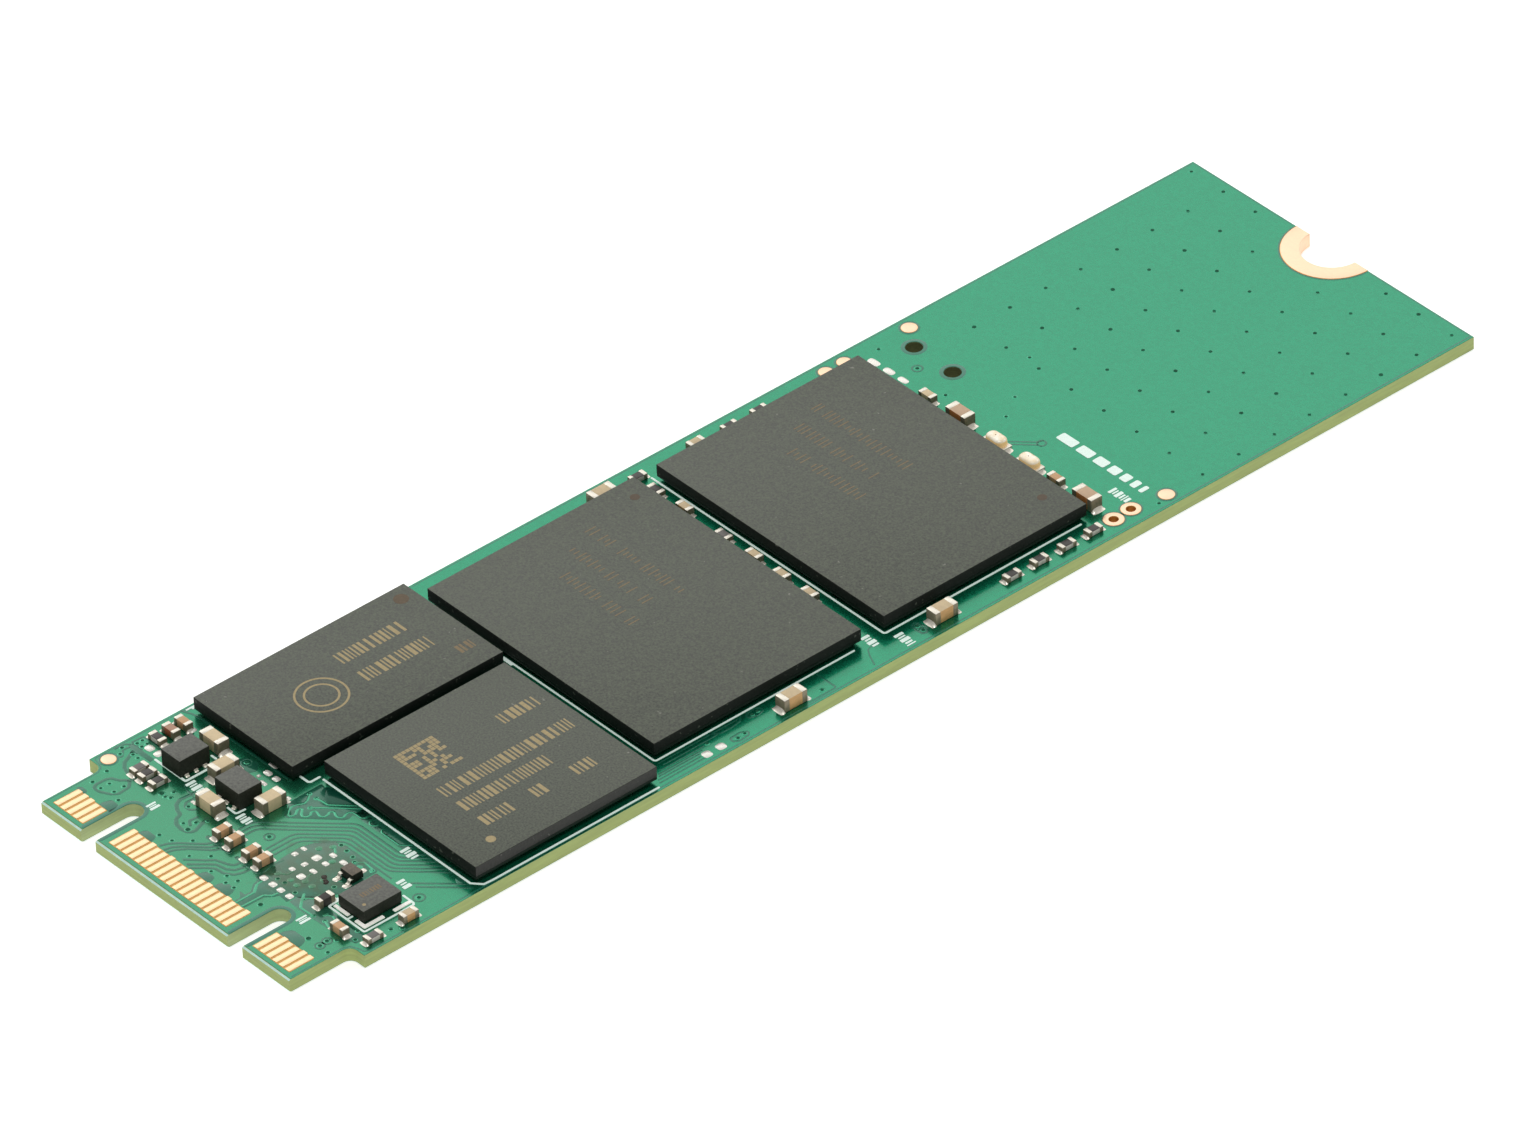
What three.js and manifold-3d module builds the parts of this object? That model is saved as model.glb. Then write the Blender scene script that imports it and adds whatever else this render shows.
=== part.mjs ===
// Solid state drive module, 22 x 80 mm card, keyed for both B and M sockets.
// Millimetres, +Z up. The card lies flat: X across it, Y along it from the edge
// connector (low Y) to the half-round screw notch (high Y). The origin is the middle
// of the card's underside.
import * as THREE from "three";
import { mergeVertices } from "three/addons/utils/BufferGeometryUtils.js";
import Module from "manifold-3d";

const wasm = await Module();
wasm.setup();

// ---- driving dimensions ----------------------------------------------------------
const CARD_W = 22.0; // across the card
const CARD_L = 80.0; // connector edge to screw edge
const CARD_T = 0.8; // over the contact faces
const TONGUE_W = 19.85; // the part that enters the socket
const SHOULDER_Y = 4.0; // tongue length
const SHOULDER_R = 0.5; // relief in the corner between tongue and shoulder
const KEY_W = 1.2; // both key notches
const KEY_L = 3.5;
const KEY_M_X = -6.125;
const KEY_B_X = 5.625;
const BEVEL_Y = 0.12; // lead-in bevel on the connector edge
const BEVEL_Z = 0.08;
const SCREW_R = 1.75; // finished half hole for the screw
const SCREW_PAD_R = 2.8; // plated land round it
const PLATE = 0.04; // plating and land thickness
const PITCH = 0.5; // contact pitch
const FINGER_W = 0.4;
const FINGER_Y0 = 0.42;
const FINGER_Y1 = 2.0;
const FINGER_T = 0.04; // contact face above the web that carries it
const WEB_T = 0.04;
const GAP = 0.01; // between pieces that are bonded or soldered together
const TOP = CARD_T; // component side

const Y0 = -CARD_L / 2; // the connector edge in this frame

// ---- helpers ---------------------------------------------------------------------
function solid(geometry) {
  const g = geometry.clone();
  for (const name of Object.keys(g.attributes))
    if (name !== "position") g.deleteAttribute(name);
  const m = mergeVertices(g.index ? g.toNonIndexed() : g, 1e-4);
  return new wasm.Manifold(
    new wasm.Mesh({
      numProp: 3,
      vertProperties: new Float32Array(m.attributes.position.array),
      triVerts: new Uint32Array(m.index.array),
    }),
  );
}

function geometryOf(manifold) {
  const mesh = manifold.getMesh();
  const n = mesh.numProp;
  const v = new Float32Array((mesh.vertProperties.length / n) * 3);
  for (let i = 0; i < v.length / 3; i++)
    v.set(mesh.vertProperties.subarray(i * n, i * n + 3), i * 3);
  const g = new THREE.BufferGeometry();
  g.setAttribute("position", new THREE.BufferAttribute(v, 3));
  g.setIndex(new THREE.BufferAttribute(new Uint32Array(mesh.triVerts), 1));
  g.computeVertexNormals();
  return g;
}

// A box from its lowest to its highest corner.
function block(x0, x1, y0, y1, z0, z1) {
  return new THREE.BoxGeometry(x1 - x0, y1 - y0, z1 - z0).translate(
    (x0 + x1) / 2,
    (y0 + y1) / 2,
    (z0 + z1) / 2,
  );
}

const union = (list) => list.map(solid).reduce((a, b) => a.add(b));

// ---- materials -------------------------------------------------------------------
const mat = (color, roughness, metalness = 0) =>
  new THREE.MeshStandardMaterial({ color, roughness, metalness });
const boardGreen = mat(0x4fa982, 0.45);
const gold = mat(0xf1cf8d, 0.3, 1);
const mouldBlack = mat(0x3a3d3b, 0.75);
const laminateDark = mat(0x1d2b22, 0.6);
const silicon = mat(0x6b6f78, 0.2, 0.4);
const ceramicCream = mat(0xd9cdb0, 0.6);
const ceramicBrown = mat(0xc19a74, 0.6);
const resistorDark = mat(0x3b3834, 0.5);
const beadDark = mat(0x2e2c2a, 0.6);
const ledLens = mat(0xf0dcae, 0.3);

const root = new THREE.Group();
function add(name, geometry, material, x = 0, y = 0, z = 0, turn = 0, into = root) {
  const mesh = new THREE.Mesh(geometry, material);
  mesh.name = name;
  mesh.position.set(x, y, z);
  mesh.rotation.z = turn;
  into.add(mesh);
  return mesh;
}

// ---- printed circuit board -------------------------------------------------------
const outline = new THREE.Shape();
{
  const t = TONGUE_W / 2;
  const k = KEY_W / 2;
  const key = (cx) => {
    outline.lineTo(cx - k, Y0);
    outline.lineTo(cx - k, Y0 + KEY_L - k);
    outline.absarc(cx, Y0 + KEY_L - k, k, Math.PI, 0, true);
    outline.lineTo(cx + k, Y0);
  };
  const ys = Y0 + SHOULDER_Y;
  outline.moveTo(-t, Y0);
  key(KEY_M_X);
  key(KEY_B_X);
  outline.lineTo(t, Y0);
  outline.lineTo(t, ys - SHOULDER_R);
  outline.absarc(t + SHOULDER_R, ys - SHOULDER_R, SHOULDER_R, Math.PI, Math.PI / 2, true);
  outline.lineTo(CARD_W / 2, ys);
  outline.lineTo(CARD_W / 2, Y0 + CARD_L);
  const r = SCREW_R + PLATE + GAP;
  outline.lineTo(r, Y0 + CARD_L);
  outline.absarc(0, Y0 + CARD_L, r, 0, -Math.PI, true);
  outline.lineTo(-CARD_W / 2, Y0 + CARD_L);
  outline.lineTo(-CARD_W / 2, ys);
  outline.lineTo(-t - SHOULDER_R, ys);
  outline.absarc(-t - SHOULDER_R, ys - SHOULDER_R, SHOULDER_R, Math.PI / 2, 0, true);
  outline.closePath();
}
// Open drilled holes: [x, y from the connector edge, radius].
const HOLES = [
  [-8.68, 58.0, 0.48],
  [-5.6, 58.0, 0.48],
  [9.78, 56.75, 0.26],
  [9.83, 55.5, 0.26],
];
for (const [x, y, r] of HOLES) {
  const hole = new THREE.Path();
  hole.absarc(x, Y0 + y, r, 0, Math.PI * 2, true);
  outline.holes.push(hole);
}
let board = solid(
  new THREE.ExtrudeGeometry(outline, {
    depth: CARD_T,
    bevelEnabled: false,
    curveSegments: 10,
  }),
);

// The lead-in bevels, above and below.
for (const side of [1, -1]) {
  const wedge = new THREE.Shape();
  wedge.moveTo(-0.5, 0);
  wedge.lineTo(BEVEL_Y, 0);
  wedge.lineTo(0, BEVEL_Z);
  wedge.lineTo(-0.5, BEVEL_Z);
  const w = new THREE.ExtrudeGeometry(wedge, { depth: 24, bevelEnabled: false });
  // the wedge is drawn in (y, depth below the face); turn it to run across the card
  const m = new THREE.Matrix4().set(
    0, 0, 1, -12,
    1, 0, 0, Y0,
    0, -side, 0, side > 0 ? CARD_T : 0,
    0, 0, 0, 1,
  );
  w.applyMatrix4(m);
  let cut = solid(w);
  if (cut.volume() < 0) {
    const g = w.index ? w.toNonIndexed() : w;
    const p = g.getAttribute("position").array;
    for (let i = 0; i < p.length; i += 9)
      for (let j = 0; j < 3; j++) [p[i + j], p[i + 3 + j]] = [p[i + 3 + j], p[i + j]];
    cut = solid(g);
  }
  board = board.subtract(cut);
}

// ---- edge contacts ---------------------------------------------------------------
// Contact n stands at 9.25 - (n - 1)/4 across the card: odd numbers on the component
// side, even numbers on the underside. The fingers of a bank stand on one thin web.
const pinX = (n) => 9.25 - (n - 1) / 4;
const BANKS = [
  ["contact_bank_m_top", 67, 75, 1],
  ["contact_bank_centre_top", 21, 57, 1],
  ["contact_bank_b_top", 1, 11, 1],
  ["contact_bank_m_bottom", 68, 74, -1],
  ["contact_bank_centre_bottom", 20, 58, -1],
  ["contact_bank_b_bottom", 2, 10, -1],
];
for (const [name, first, last, side] of BANKS) {
  const profile = new THREE.Shape();
  const h = FINGER_W / 2;
  const depth = WEB_T + FINGER_T;
  const xs = [];
  for (let n = last; n >= first; n -= 2) xs.push(pinX(n));
  profile.moveTo(xs[0] - h, 0);
  profile.lineTo(xs[xs.length - 1] + h, 0);
  for (let i = xs.length - 1; i >= 0; i--) {
    profile.lineTo(xs[i] + h, depth);
    profile.lineTo(xs[i] - h, depth);
    if (i > 0) {
      profile.lineTo(xs[i] - h, WEB_T);
      profile.lineTo(xs[i - 1] + h, WEB_T);
    }
  }
  profile.closePath();
  const comb = new THREE.ExtrudeGeometry(profile, {
    depth: FINGER_Y1 - FINGER_Y0,
    bevelEnabled: false,
  });
  comb.rotateX(Math.PI / 2); // height to +Z, length to -Y
  comb.translate(0, FINGER_Y1 - FINGER_Y0, 0);
  if (side < 0) {
    // the underside banks face down: half a turn about Y, with the contact order kept
    comb.rotateY(Math.PI);
    comb.translate(xs[0] + xs[xs.length - 1], 0, 0);
  }
  add(name, comb, gold, 0, Y0 + FINGER_Y0, side > 0 ? TOP - depth : depth);
  const x0 = xs[0] - h - GAP;
  const x1 = xs[xs.length - 1] + h + GAP;
  const y0 = Y0 + FINGER_Y0 - GAP;
  const y1 = Y0 + FINGER_Y1 + GAP;
  board = board.subtract(
    solid(
      side > 0
        ? block(x0, x1, y0, y1, TOP - depth - GAP, TOP + 1)
        : block(x0, x1, y0, y1, -1, depth + GAP),
    ),
  );
}

// ---- plated half hole for the screw ----------------------------------------------
{
  const ring = (profile) => {
    const g = new THREE.LatheGeometry(
      profile.map(([r, z]) => new THREE.Vector2(r, z)),
      36,
    );
    g.rotateX(Math.PI / 2);
    g.translate(0, Y0 + CARD_L, 0);
    return solid(g);
  };
  const flip = (m) => (m.volume() < 0 ? null : m);
  const land = [
    [SCREW_R, 0],
    [SCREW_PAD_R, 0],
    [SCREW_PAD_R, PLATE],
    [SCREW_R + PLATE, PLATE],
    [SCREW_R + PLATE, CARD_T - PLATE],
    [SCREW_PAD_R, CARD_T - PLATE],
    [SCREW_PAD_R, CARD_T],
    [SCREW_R, CARD_T],
    [SCREW_R, 0],
  ];
  const full = flip(ring(land)) || ring([...land].reverse());
  const half = solid(block(-4, 4, Y0 + CARD_L - 4, Y0 + CARD_L, -1, 2));
  add("screw_hole_plating", geometryOf(full.intersect(half)), gold);
  const disc = (z0, z1) => {
    const c = new THREE.CylinderGeometry(SCREW_PAD_R + GAP, SCREW_PAD_R + GAP, z1 - z0, 36);
    c.rotateX(Math.PI / 2);
    c.translate(0, Y0 + CARD_L, (z0 + z1) / 2);
    return solid(c);
  };
  board = board
    .subtract(disc(CARD_T - PLATE - GAP, CARD_T + 1))
    .subtract(disc(-1, PLATE + GAP));
}
add("circuit_board", geometryOf(board), boardGreen);

// ---- ball grid packages ----------------------------------------------------------
// Each is a laminate substrate standing on solder balls, a die on the substrate, and
// a mould cap over both.
const STANDOFF = 0.24;
const SUBSTRATE_T = 0.18;
const BALL = 0.36;
const PACKAGES = [
  // name, x, y, width (X), length (Y), height over the board, ball pitch, columns, rows, die
  ["controller", 4.44, 17.8, 12, 12, 1.05, 0.8, 14, 14, [[6.2, 5.6, 0.25, 0, 0]]],
  ["dram", -6.33, 17.35, 8, 14, 1.0, 0.8, 9, 16, [[5.4, 8.8, 0.22, 0, 0]]],
  ["nand_1", -0.14, 31.95, 18, 14, 1.0, 1.0, 17, 13, [
    [12, 9, 0.1, -0.9, 0], [12, 9, 0.1, -0.3, 0], [12, 9, 0.1, 0.3, 0], [12, 9, 0.1, 0.9, 0]]],
  ["nand_2", -0.14, 47.5, 18, 14, 1.0, 1.0, 17, 13, [
    [12, 9, 0.1, -0.9, 0], [12, 9, 0.1, -0.3, 0], [12, 9, 0.1, 0.3, 0], [12, 9, 0.1, 0.9, 0]]],
];
for (const [name, x, y, w, l, height, pitch, cols, rows, dies] of PACKAGES) {
  const chip = new THREE.Group();
  chip.position.set(x, Y0 + y, TOP);
  root.add(chip);
  const s0 = STANDOFF;
  const s1 = STANDOFF + SUBSTRATE_T;
  const parts = [block(-w / 2, w / 2, -l / 2, l / 2, s0, s1)];
  for (let i = 0; i < cols; i++)
    for (let j = 0; j < rows; j++) {
      if (i > 0 && i < cols - 1 && j > 0 && j < rows - 1) continue;
      const bx = (i - (cols - 1) / 2) * pitch;
      const by = (j - (rows - 1) / 2) * pitch;
      parts.push(
        block(bx - BALL / 2, bx + BALL / 2, by - BALL / 2, by + BALL / 2, GAP, s0 + 0.03),
      );
    }
  add(name + "_substrate_and_balls", geometryOf(union(parts)), laminateDark, 0, 0, 0, 0, chip);
  const stack = [];
  const pocket = [];
  let z = s1 + GAP;
  for (const [dw, dl, dt, dx, dy] of dies) {
    stack.push(block(dx - dw / 2, dx + dw / 2, dy - dl / 2, dy + dl / 2, z - 0.004, z + dt));
    z += dt;
  }
  const reach = Math.max(...dies.map((d) => d[0] / 2 + Math.abs(d[3]))) + 0.02;
  const deep = Math.max(...dies.map((d) => d[1] / 2)) + 0.02;
  pocket.push(block(-reach, reach, -deep, deep, s1 - 0.5, z + 0.02));
  const dieName = dies.length > 1 ? "_die_stack" : "_die";
  add(name + dieName, geometryOf(union(stack)), silicon, 0, 0, 0, 0, chip);
  const cap = solid(block(-w / 2, w / 2, -l / 2, l / 2, s1 + GAP, height)).subtract(
    union(pocket),
  );
  add(name + "_mould_cap", geometryOf(cap), mouldBlack, 0, 0, 0, 0, chip);
}

// ---- voltage regulators: moulded bodies with three lands on each long side --------
function regulator() {
  const parts = [block(-0.76, 0.76, -0.98, 0.98, GAP, 1.08)];
  for (const sx of [-1, 1])
    for (const py of [-0.6, 0, 0.6])
      parts.push(
        block(Math.min(sx * 0.5, sx * 0.84), Math.max(sx * 0.5, sx * 0.84), py - 0.13, py + 0.13, GAP, 0.12),
      );
  return geometryOf(union(parts));
}
add("regulator_1", regulator(), mouldBlack, -7.28, Y0 + 7.35, TOP);
add("regulator_2", regulator(), mouldBlack, -3.35, Y0 + 7.63, TOP, Math.PI / 2);

// ---- clock oscillator: base with four corner lands --------------------------------
{
  const parts = [block(-1.0, 1.0, -1.25, 1.25, 0.08, 0.75)];
  for (const sx of [-1, 1])
    for (const sy of [-1, 1]) {
      const x0 = sx > 0 ? 0.25 : -1.0;
      const y0 = sy > 0 ? 0.45 : -1.25;
      parts.push(block(x0, x0 + 0.75, y0, y0 + 0.8, GAP, 0.12));
    }
  add("clock_oscillator", geometryOf(union(parts)), mouldBlack, 8.04, Y0 + 6.86, TOP);
}

// ---- small transistor: tapered body on three leads --------------------------------
{
  const body = new THREE.BoxGeometry(1.0, 0.74, 0.42).translate(0, 0, 0.29);
  const p = body.getAttribute("position");
  for (let i = 0; i < p.count; i++)
    if (p.getZ(i) > 0.4) {
      p.setX(i, p.getX(i) * 0.94);
      p.setY(i, p.getY(i) * 0.92);
    }
  const parts = [
    body,
    block(-0.13, 0.13, 0.3, 0.66, GAP, 0.14),
    block(-0.49, -0.27, -0.66, -0.3, GAP, 0.14),
    block(0.27, 0.49, -0.66, -0.3, GAP, 0.14),
  ];
  add("reset_transistor", geometryOf(union(parts)), mouldBlack, 5.68, Y0 + 7.6, TOP);
}

// ---- two-terminal chip parts -------------------------------------------------------
// Length along X before turning: end caps a little larger than the body between them.
function chipPart(l, w, h, capL) {
  const e = 0.02;
  return geometryOf(
    union([
      block(-l / 2 + 0.05, l / 2 - 0.05, -w / 2 + e, w / 2 - e, GAP + e, h - e),
      block(-l / 2, -l / 2 + capL, -w / 2, w / 2, GAP, h),
      block(l / 2 - capL, l / 2, -w / 2, w / 2, GAP, h),
    ]),
  );
}
const SIZES = {
  c0603: [1.55, 0.78, 0.78, 0.36],
  c0402: [1.0, 0.5, 0.5, 0.24],
  r0402: [1.0, 0.5, 0.35, 0.24],
};
const CHIPS = [
  // name, size, x, y, lengthways (0 along X, 1 along Y), material
  ["supply_capacitor_1", "c0603", -7.40, 9.32, 0, ceramicCream],
  ["supply_capacitor_2", "c0603", -5.33, 8.24, 1, ceramicCream],
  ["supply_capacitor_3", "c0603", -1.56, 8.24, 1, ceramicCream],
  ["supply_capacitor_4", "c0603", -3.52, 5.92, 0, ceramicCream],
  ["bypass_capacitor_1", "c0402", -9.75, 9.2, 0, ceramicBrown],
  ["bypass_capacitor_2", "c0402", -9.70, 8.34, 0, ceramicBrown],
  ["feedback_resistor_1", "r0402", -9.77, 7.5, 0, resistorDark],
  ["feedback_resistor_2", "r0402", -7.80, 5.23, 1, resistorDark],
  ["feedback_resistor_3", "r0402", -6.96, 5.23, 1, resistorDark],
  ["link_capacitor_1", "c0402", -1.47, 5.0, 1, ceramicBrown],
  ["link_capacitor_2", "c0402", -0.48, 5.0, 1, ceramicBrown],
  ["link_capacitor_3", "c0402", 0.86, 5.0, 1, ceramicBrown],
  ["link_capacitor_4", "c0402", 1.79, 5.0, 1, ceramicBrown],
  ["ferrite_bead", "c0402", 6.42, 5.22, 1, beadDark],
  ["clock_capacitor_1", "c0402", 10.27, 7.5, 1, ceramicBrown],
  ["clock_resistor", "r0402", 10.31, 5.15, 1, resistorDark],
  ["clock_capacitor_2", "c0402", 8.73, 4.3, 0, ceramicBrown],
  ["nand_resistor_1", "r0402", -8.28, 39.72, 0, resistorDark],
  ["nand_capacitor_1", "c0402", -5.98, 39.72, 0, ceramicBrown],
  ["nand_resistor_2", "r0402", -2.87, 39.72, 0, resistorDark],
  ["nand_capacitor_2", "c0402", -0.37, 39.65, 0, ceramicBrown],
  ["nand_capacitor_3", "c0402", 1.88, 39.59, 0, ceramicBrown],
  ["nand_capacitor_4", "c0402", 4.09, 39.59, 0, ceramicBrown],
  ["nand_capacitor_5", "c0603", -9.66, 37.2, 1, ceramicBrown],
  ["nand_capacitor_6", "c0603", 10.16, 33.05, 1, ceramicBrown],
  ["nand_capacitor_7", "c0603", 9.98, 43.5, 1, ceramicBrown],
  ["row_resistor_1", "r0402", 9.96, 48.3, 1, resistorDark],
  ["row_resistor_2", "r0402", 9.96, 50.2, 1, resistorDark],
  ["row_resistor_3", "r0402", 9.96, 52.1, 1, resistorDark],
  ["row_resistor_4", "r0402", 9.96, 53.95, 1, resistorDark],
  ["end_capacitor_1", "c0402", -4.62, 55.4, 0, ceramicBrown],
  ["end_capacitor_2", "c0603", -2.05, 55.4, 0, ceramicBrown],
  ["end_capacitor_3", "c0402", 5.46, 55.4, 0, ceramicBrown],
  ["end_capacitor_4", "c0603", 7.88, 55.4, 0, ceramicBrown],
];
for (const [name, size, x, y, along, material] of CHIPS)
  add(name, chipPart(...SIZES[size]), material, x, Y0 + y, TOP, (along * Math.PI) / 2);

// ---- activity lights: lens block on a small base with end terminals ---------------
for (const [name, x] of [["activity_led", 0.82], ["power_led", 3.4]]) {
  const parts = [
    block(-0.8, 0.8, -0.4, 0.4, GAP, 0.2),
    block(-0.67, 0.63, -0.4, 0.4, 0.15, 0.62),
  ];
  add(name, geometryOf(union(parts)), ledLens, x, Y0 + 55.4, TOP);
}

export default root;
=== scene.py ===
"""Looks for the solid state drive card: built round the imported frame, in metres."""
import math
import random

import bmesh
import bpy
from mathutils import Matrix, Vector
from mathutils.geometry import tessellate_polygon


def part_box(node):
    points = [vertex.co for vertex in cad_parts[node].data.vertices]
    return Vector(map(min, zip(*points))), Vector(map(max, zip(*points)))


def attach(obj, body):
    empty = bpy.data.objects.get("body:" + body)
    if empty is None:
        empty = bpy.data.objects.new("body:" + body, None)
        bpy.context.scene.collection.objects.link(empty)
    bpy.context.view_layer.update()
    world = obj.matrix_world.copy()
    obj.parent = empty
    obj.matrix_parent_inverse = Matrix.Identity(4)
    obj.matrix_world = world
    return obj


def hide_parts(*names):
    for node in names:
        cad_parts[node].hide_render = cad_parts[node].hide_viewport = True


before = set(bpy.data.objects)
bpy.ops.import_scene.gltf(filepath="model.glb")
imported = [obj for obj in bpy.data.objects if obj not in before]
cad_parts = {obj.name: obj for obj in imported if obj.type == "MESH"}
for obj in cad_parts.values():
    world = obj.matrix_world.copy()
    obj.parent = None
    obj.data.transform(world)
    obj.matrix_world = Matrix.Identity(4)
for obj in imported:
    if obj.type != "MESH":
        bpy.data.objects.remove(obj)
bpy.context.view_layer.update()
rng = random.Random(7)

MM = 0.001
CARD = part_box("circuit_board")
TOPZ = CARD[1].z / MM  # component side, mm
BOTZ = CARD[0].z / MM  # underside, mm
FRONT = CARD[0].y / MM  # connector edge, mm
LENGTH = (CARD[1].y - CARD[0].y) / MM
HALF = CARD[1].x / MM


# Layout coordinates: x across from the middle, y from the connector edge, z above the component side.
def W(p):
    return (p[0] * MM, (p[1] + FRONT) * MM, (p[2] + TOPZ) * MM)


def local_box(node):
    lo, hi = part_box(node)
    return (
        (lo.x / MM, lo.y / MM - FRONT, lo.z / MM - TOPZ),
        (hi.x / MM, hi.y / MM - FRONT, hi.z / MM - TOPZ),
    )


# ------------------------------------------------------------------ camera and light
cam_data = bpy.data.cameras.new("camera")
cam_data.lens = 336.77
cam_data.sensor_width = 36.0
cam_data.clip_start = 0.01
cam_data.clip_end = 20.0
cam = bpy.data.objects.new("camera", cam_data)
bpy.context.scene.collection.objects.link(cam)
D = Vector((-0.61663526, 0.50656079, -0.60262519)).normalized()
R = Vector((0.65413293, 0.75560671, -0.03418493)).normalized()
U = R.cross(D).normalized()
cam.matrix_world = Matrix(
    (
        (R.x, U.x, -D.x, 0.452328),
        (R.y, U.y, -D.y, -0.3720505),
        (R.z, U.z, -D.z, 0.4426322),
        (0, 0, 0, 1),
    )
)
bpy.context.scene.camera = cam
bpy.context.scene.view_settings.view_transform = "Standard"
bpy.context.scene.view_settings.look = "None"

world = bpy.data.worlds.new("studio")
bpy.context.scene.world = world
world.use_nodes = True
world.node_tree.nodes["Background"].inputs[0].default_value = (1.0, 0.995, 0.98, 1)
world.node_tree.nodes["Background"].inputs[1].default_value = 0.33


def area(name, loc, target, size, size_y, watts, color=(1, 1, 1)):
    d = bpy.data.lights.new(name, "AREA")
    d.shape = "RECTANGLE"
    d.size, d.size_y = size, size_y
    d.energy = watts
    d.color = color
    o = bpy.data.objects.new(name, d)
    bpy.context.scene.collection.objects.link(o)
    o.location = loc
    o.rotation_euler = (Vector(target) - Vector(loc)).to_track_quat("-Z", "Y").to_euler()
    return o


# a broad soft box behind and above, which the glossy top mirrors towards the camera
area("sheen", (-0.35, 0.23, 0.34), (0, 0, 0), 0.50, 0.46, 0.85, (1.0, 0.995, 0.98))
area("back", (-0.02, 0.52, 0.36), (0, 0, 0), 0.35, 0.35, 0.50, (1.0, 0.995, 0.98))
area("left", (-0.54, -0.02, 0.34), (0, 0, 0), 0.35, 0.35, 0.50, (1.0, 0.995, 0.98))
area("top", (0.10, -0.08, 0.72), (0, 0, 0), 0.30, 0.30, 1.20)
area("fill", (0.36, -0.46, 0.12), (0, 0, 0), 0.30, 0.15, 0.38)

# ------------------------------------------------------------------ materials
def lin(r, g, b):
    f = lambda c: (c / 255 / 12.92) if c <= 10.3 else (((c / 255) + 0.055) / 1.055) ** 2.4
    return (f(r), f(g), f(b))


MATS = {}


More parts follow.
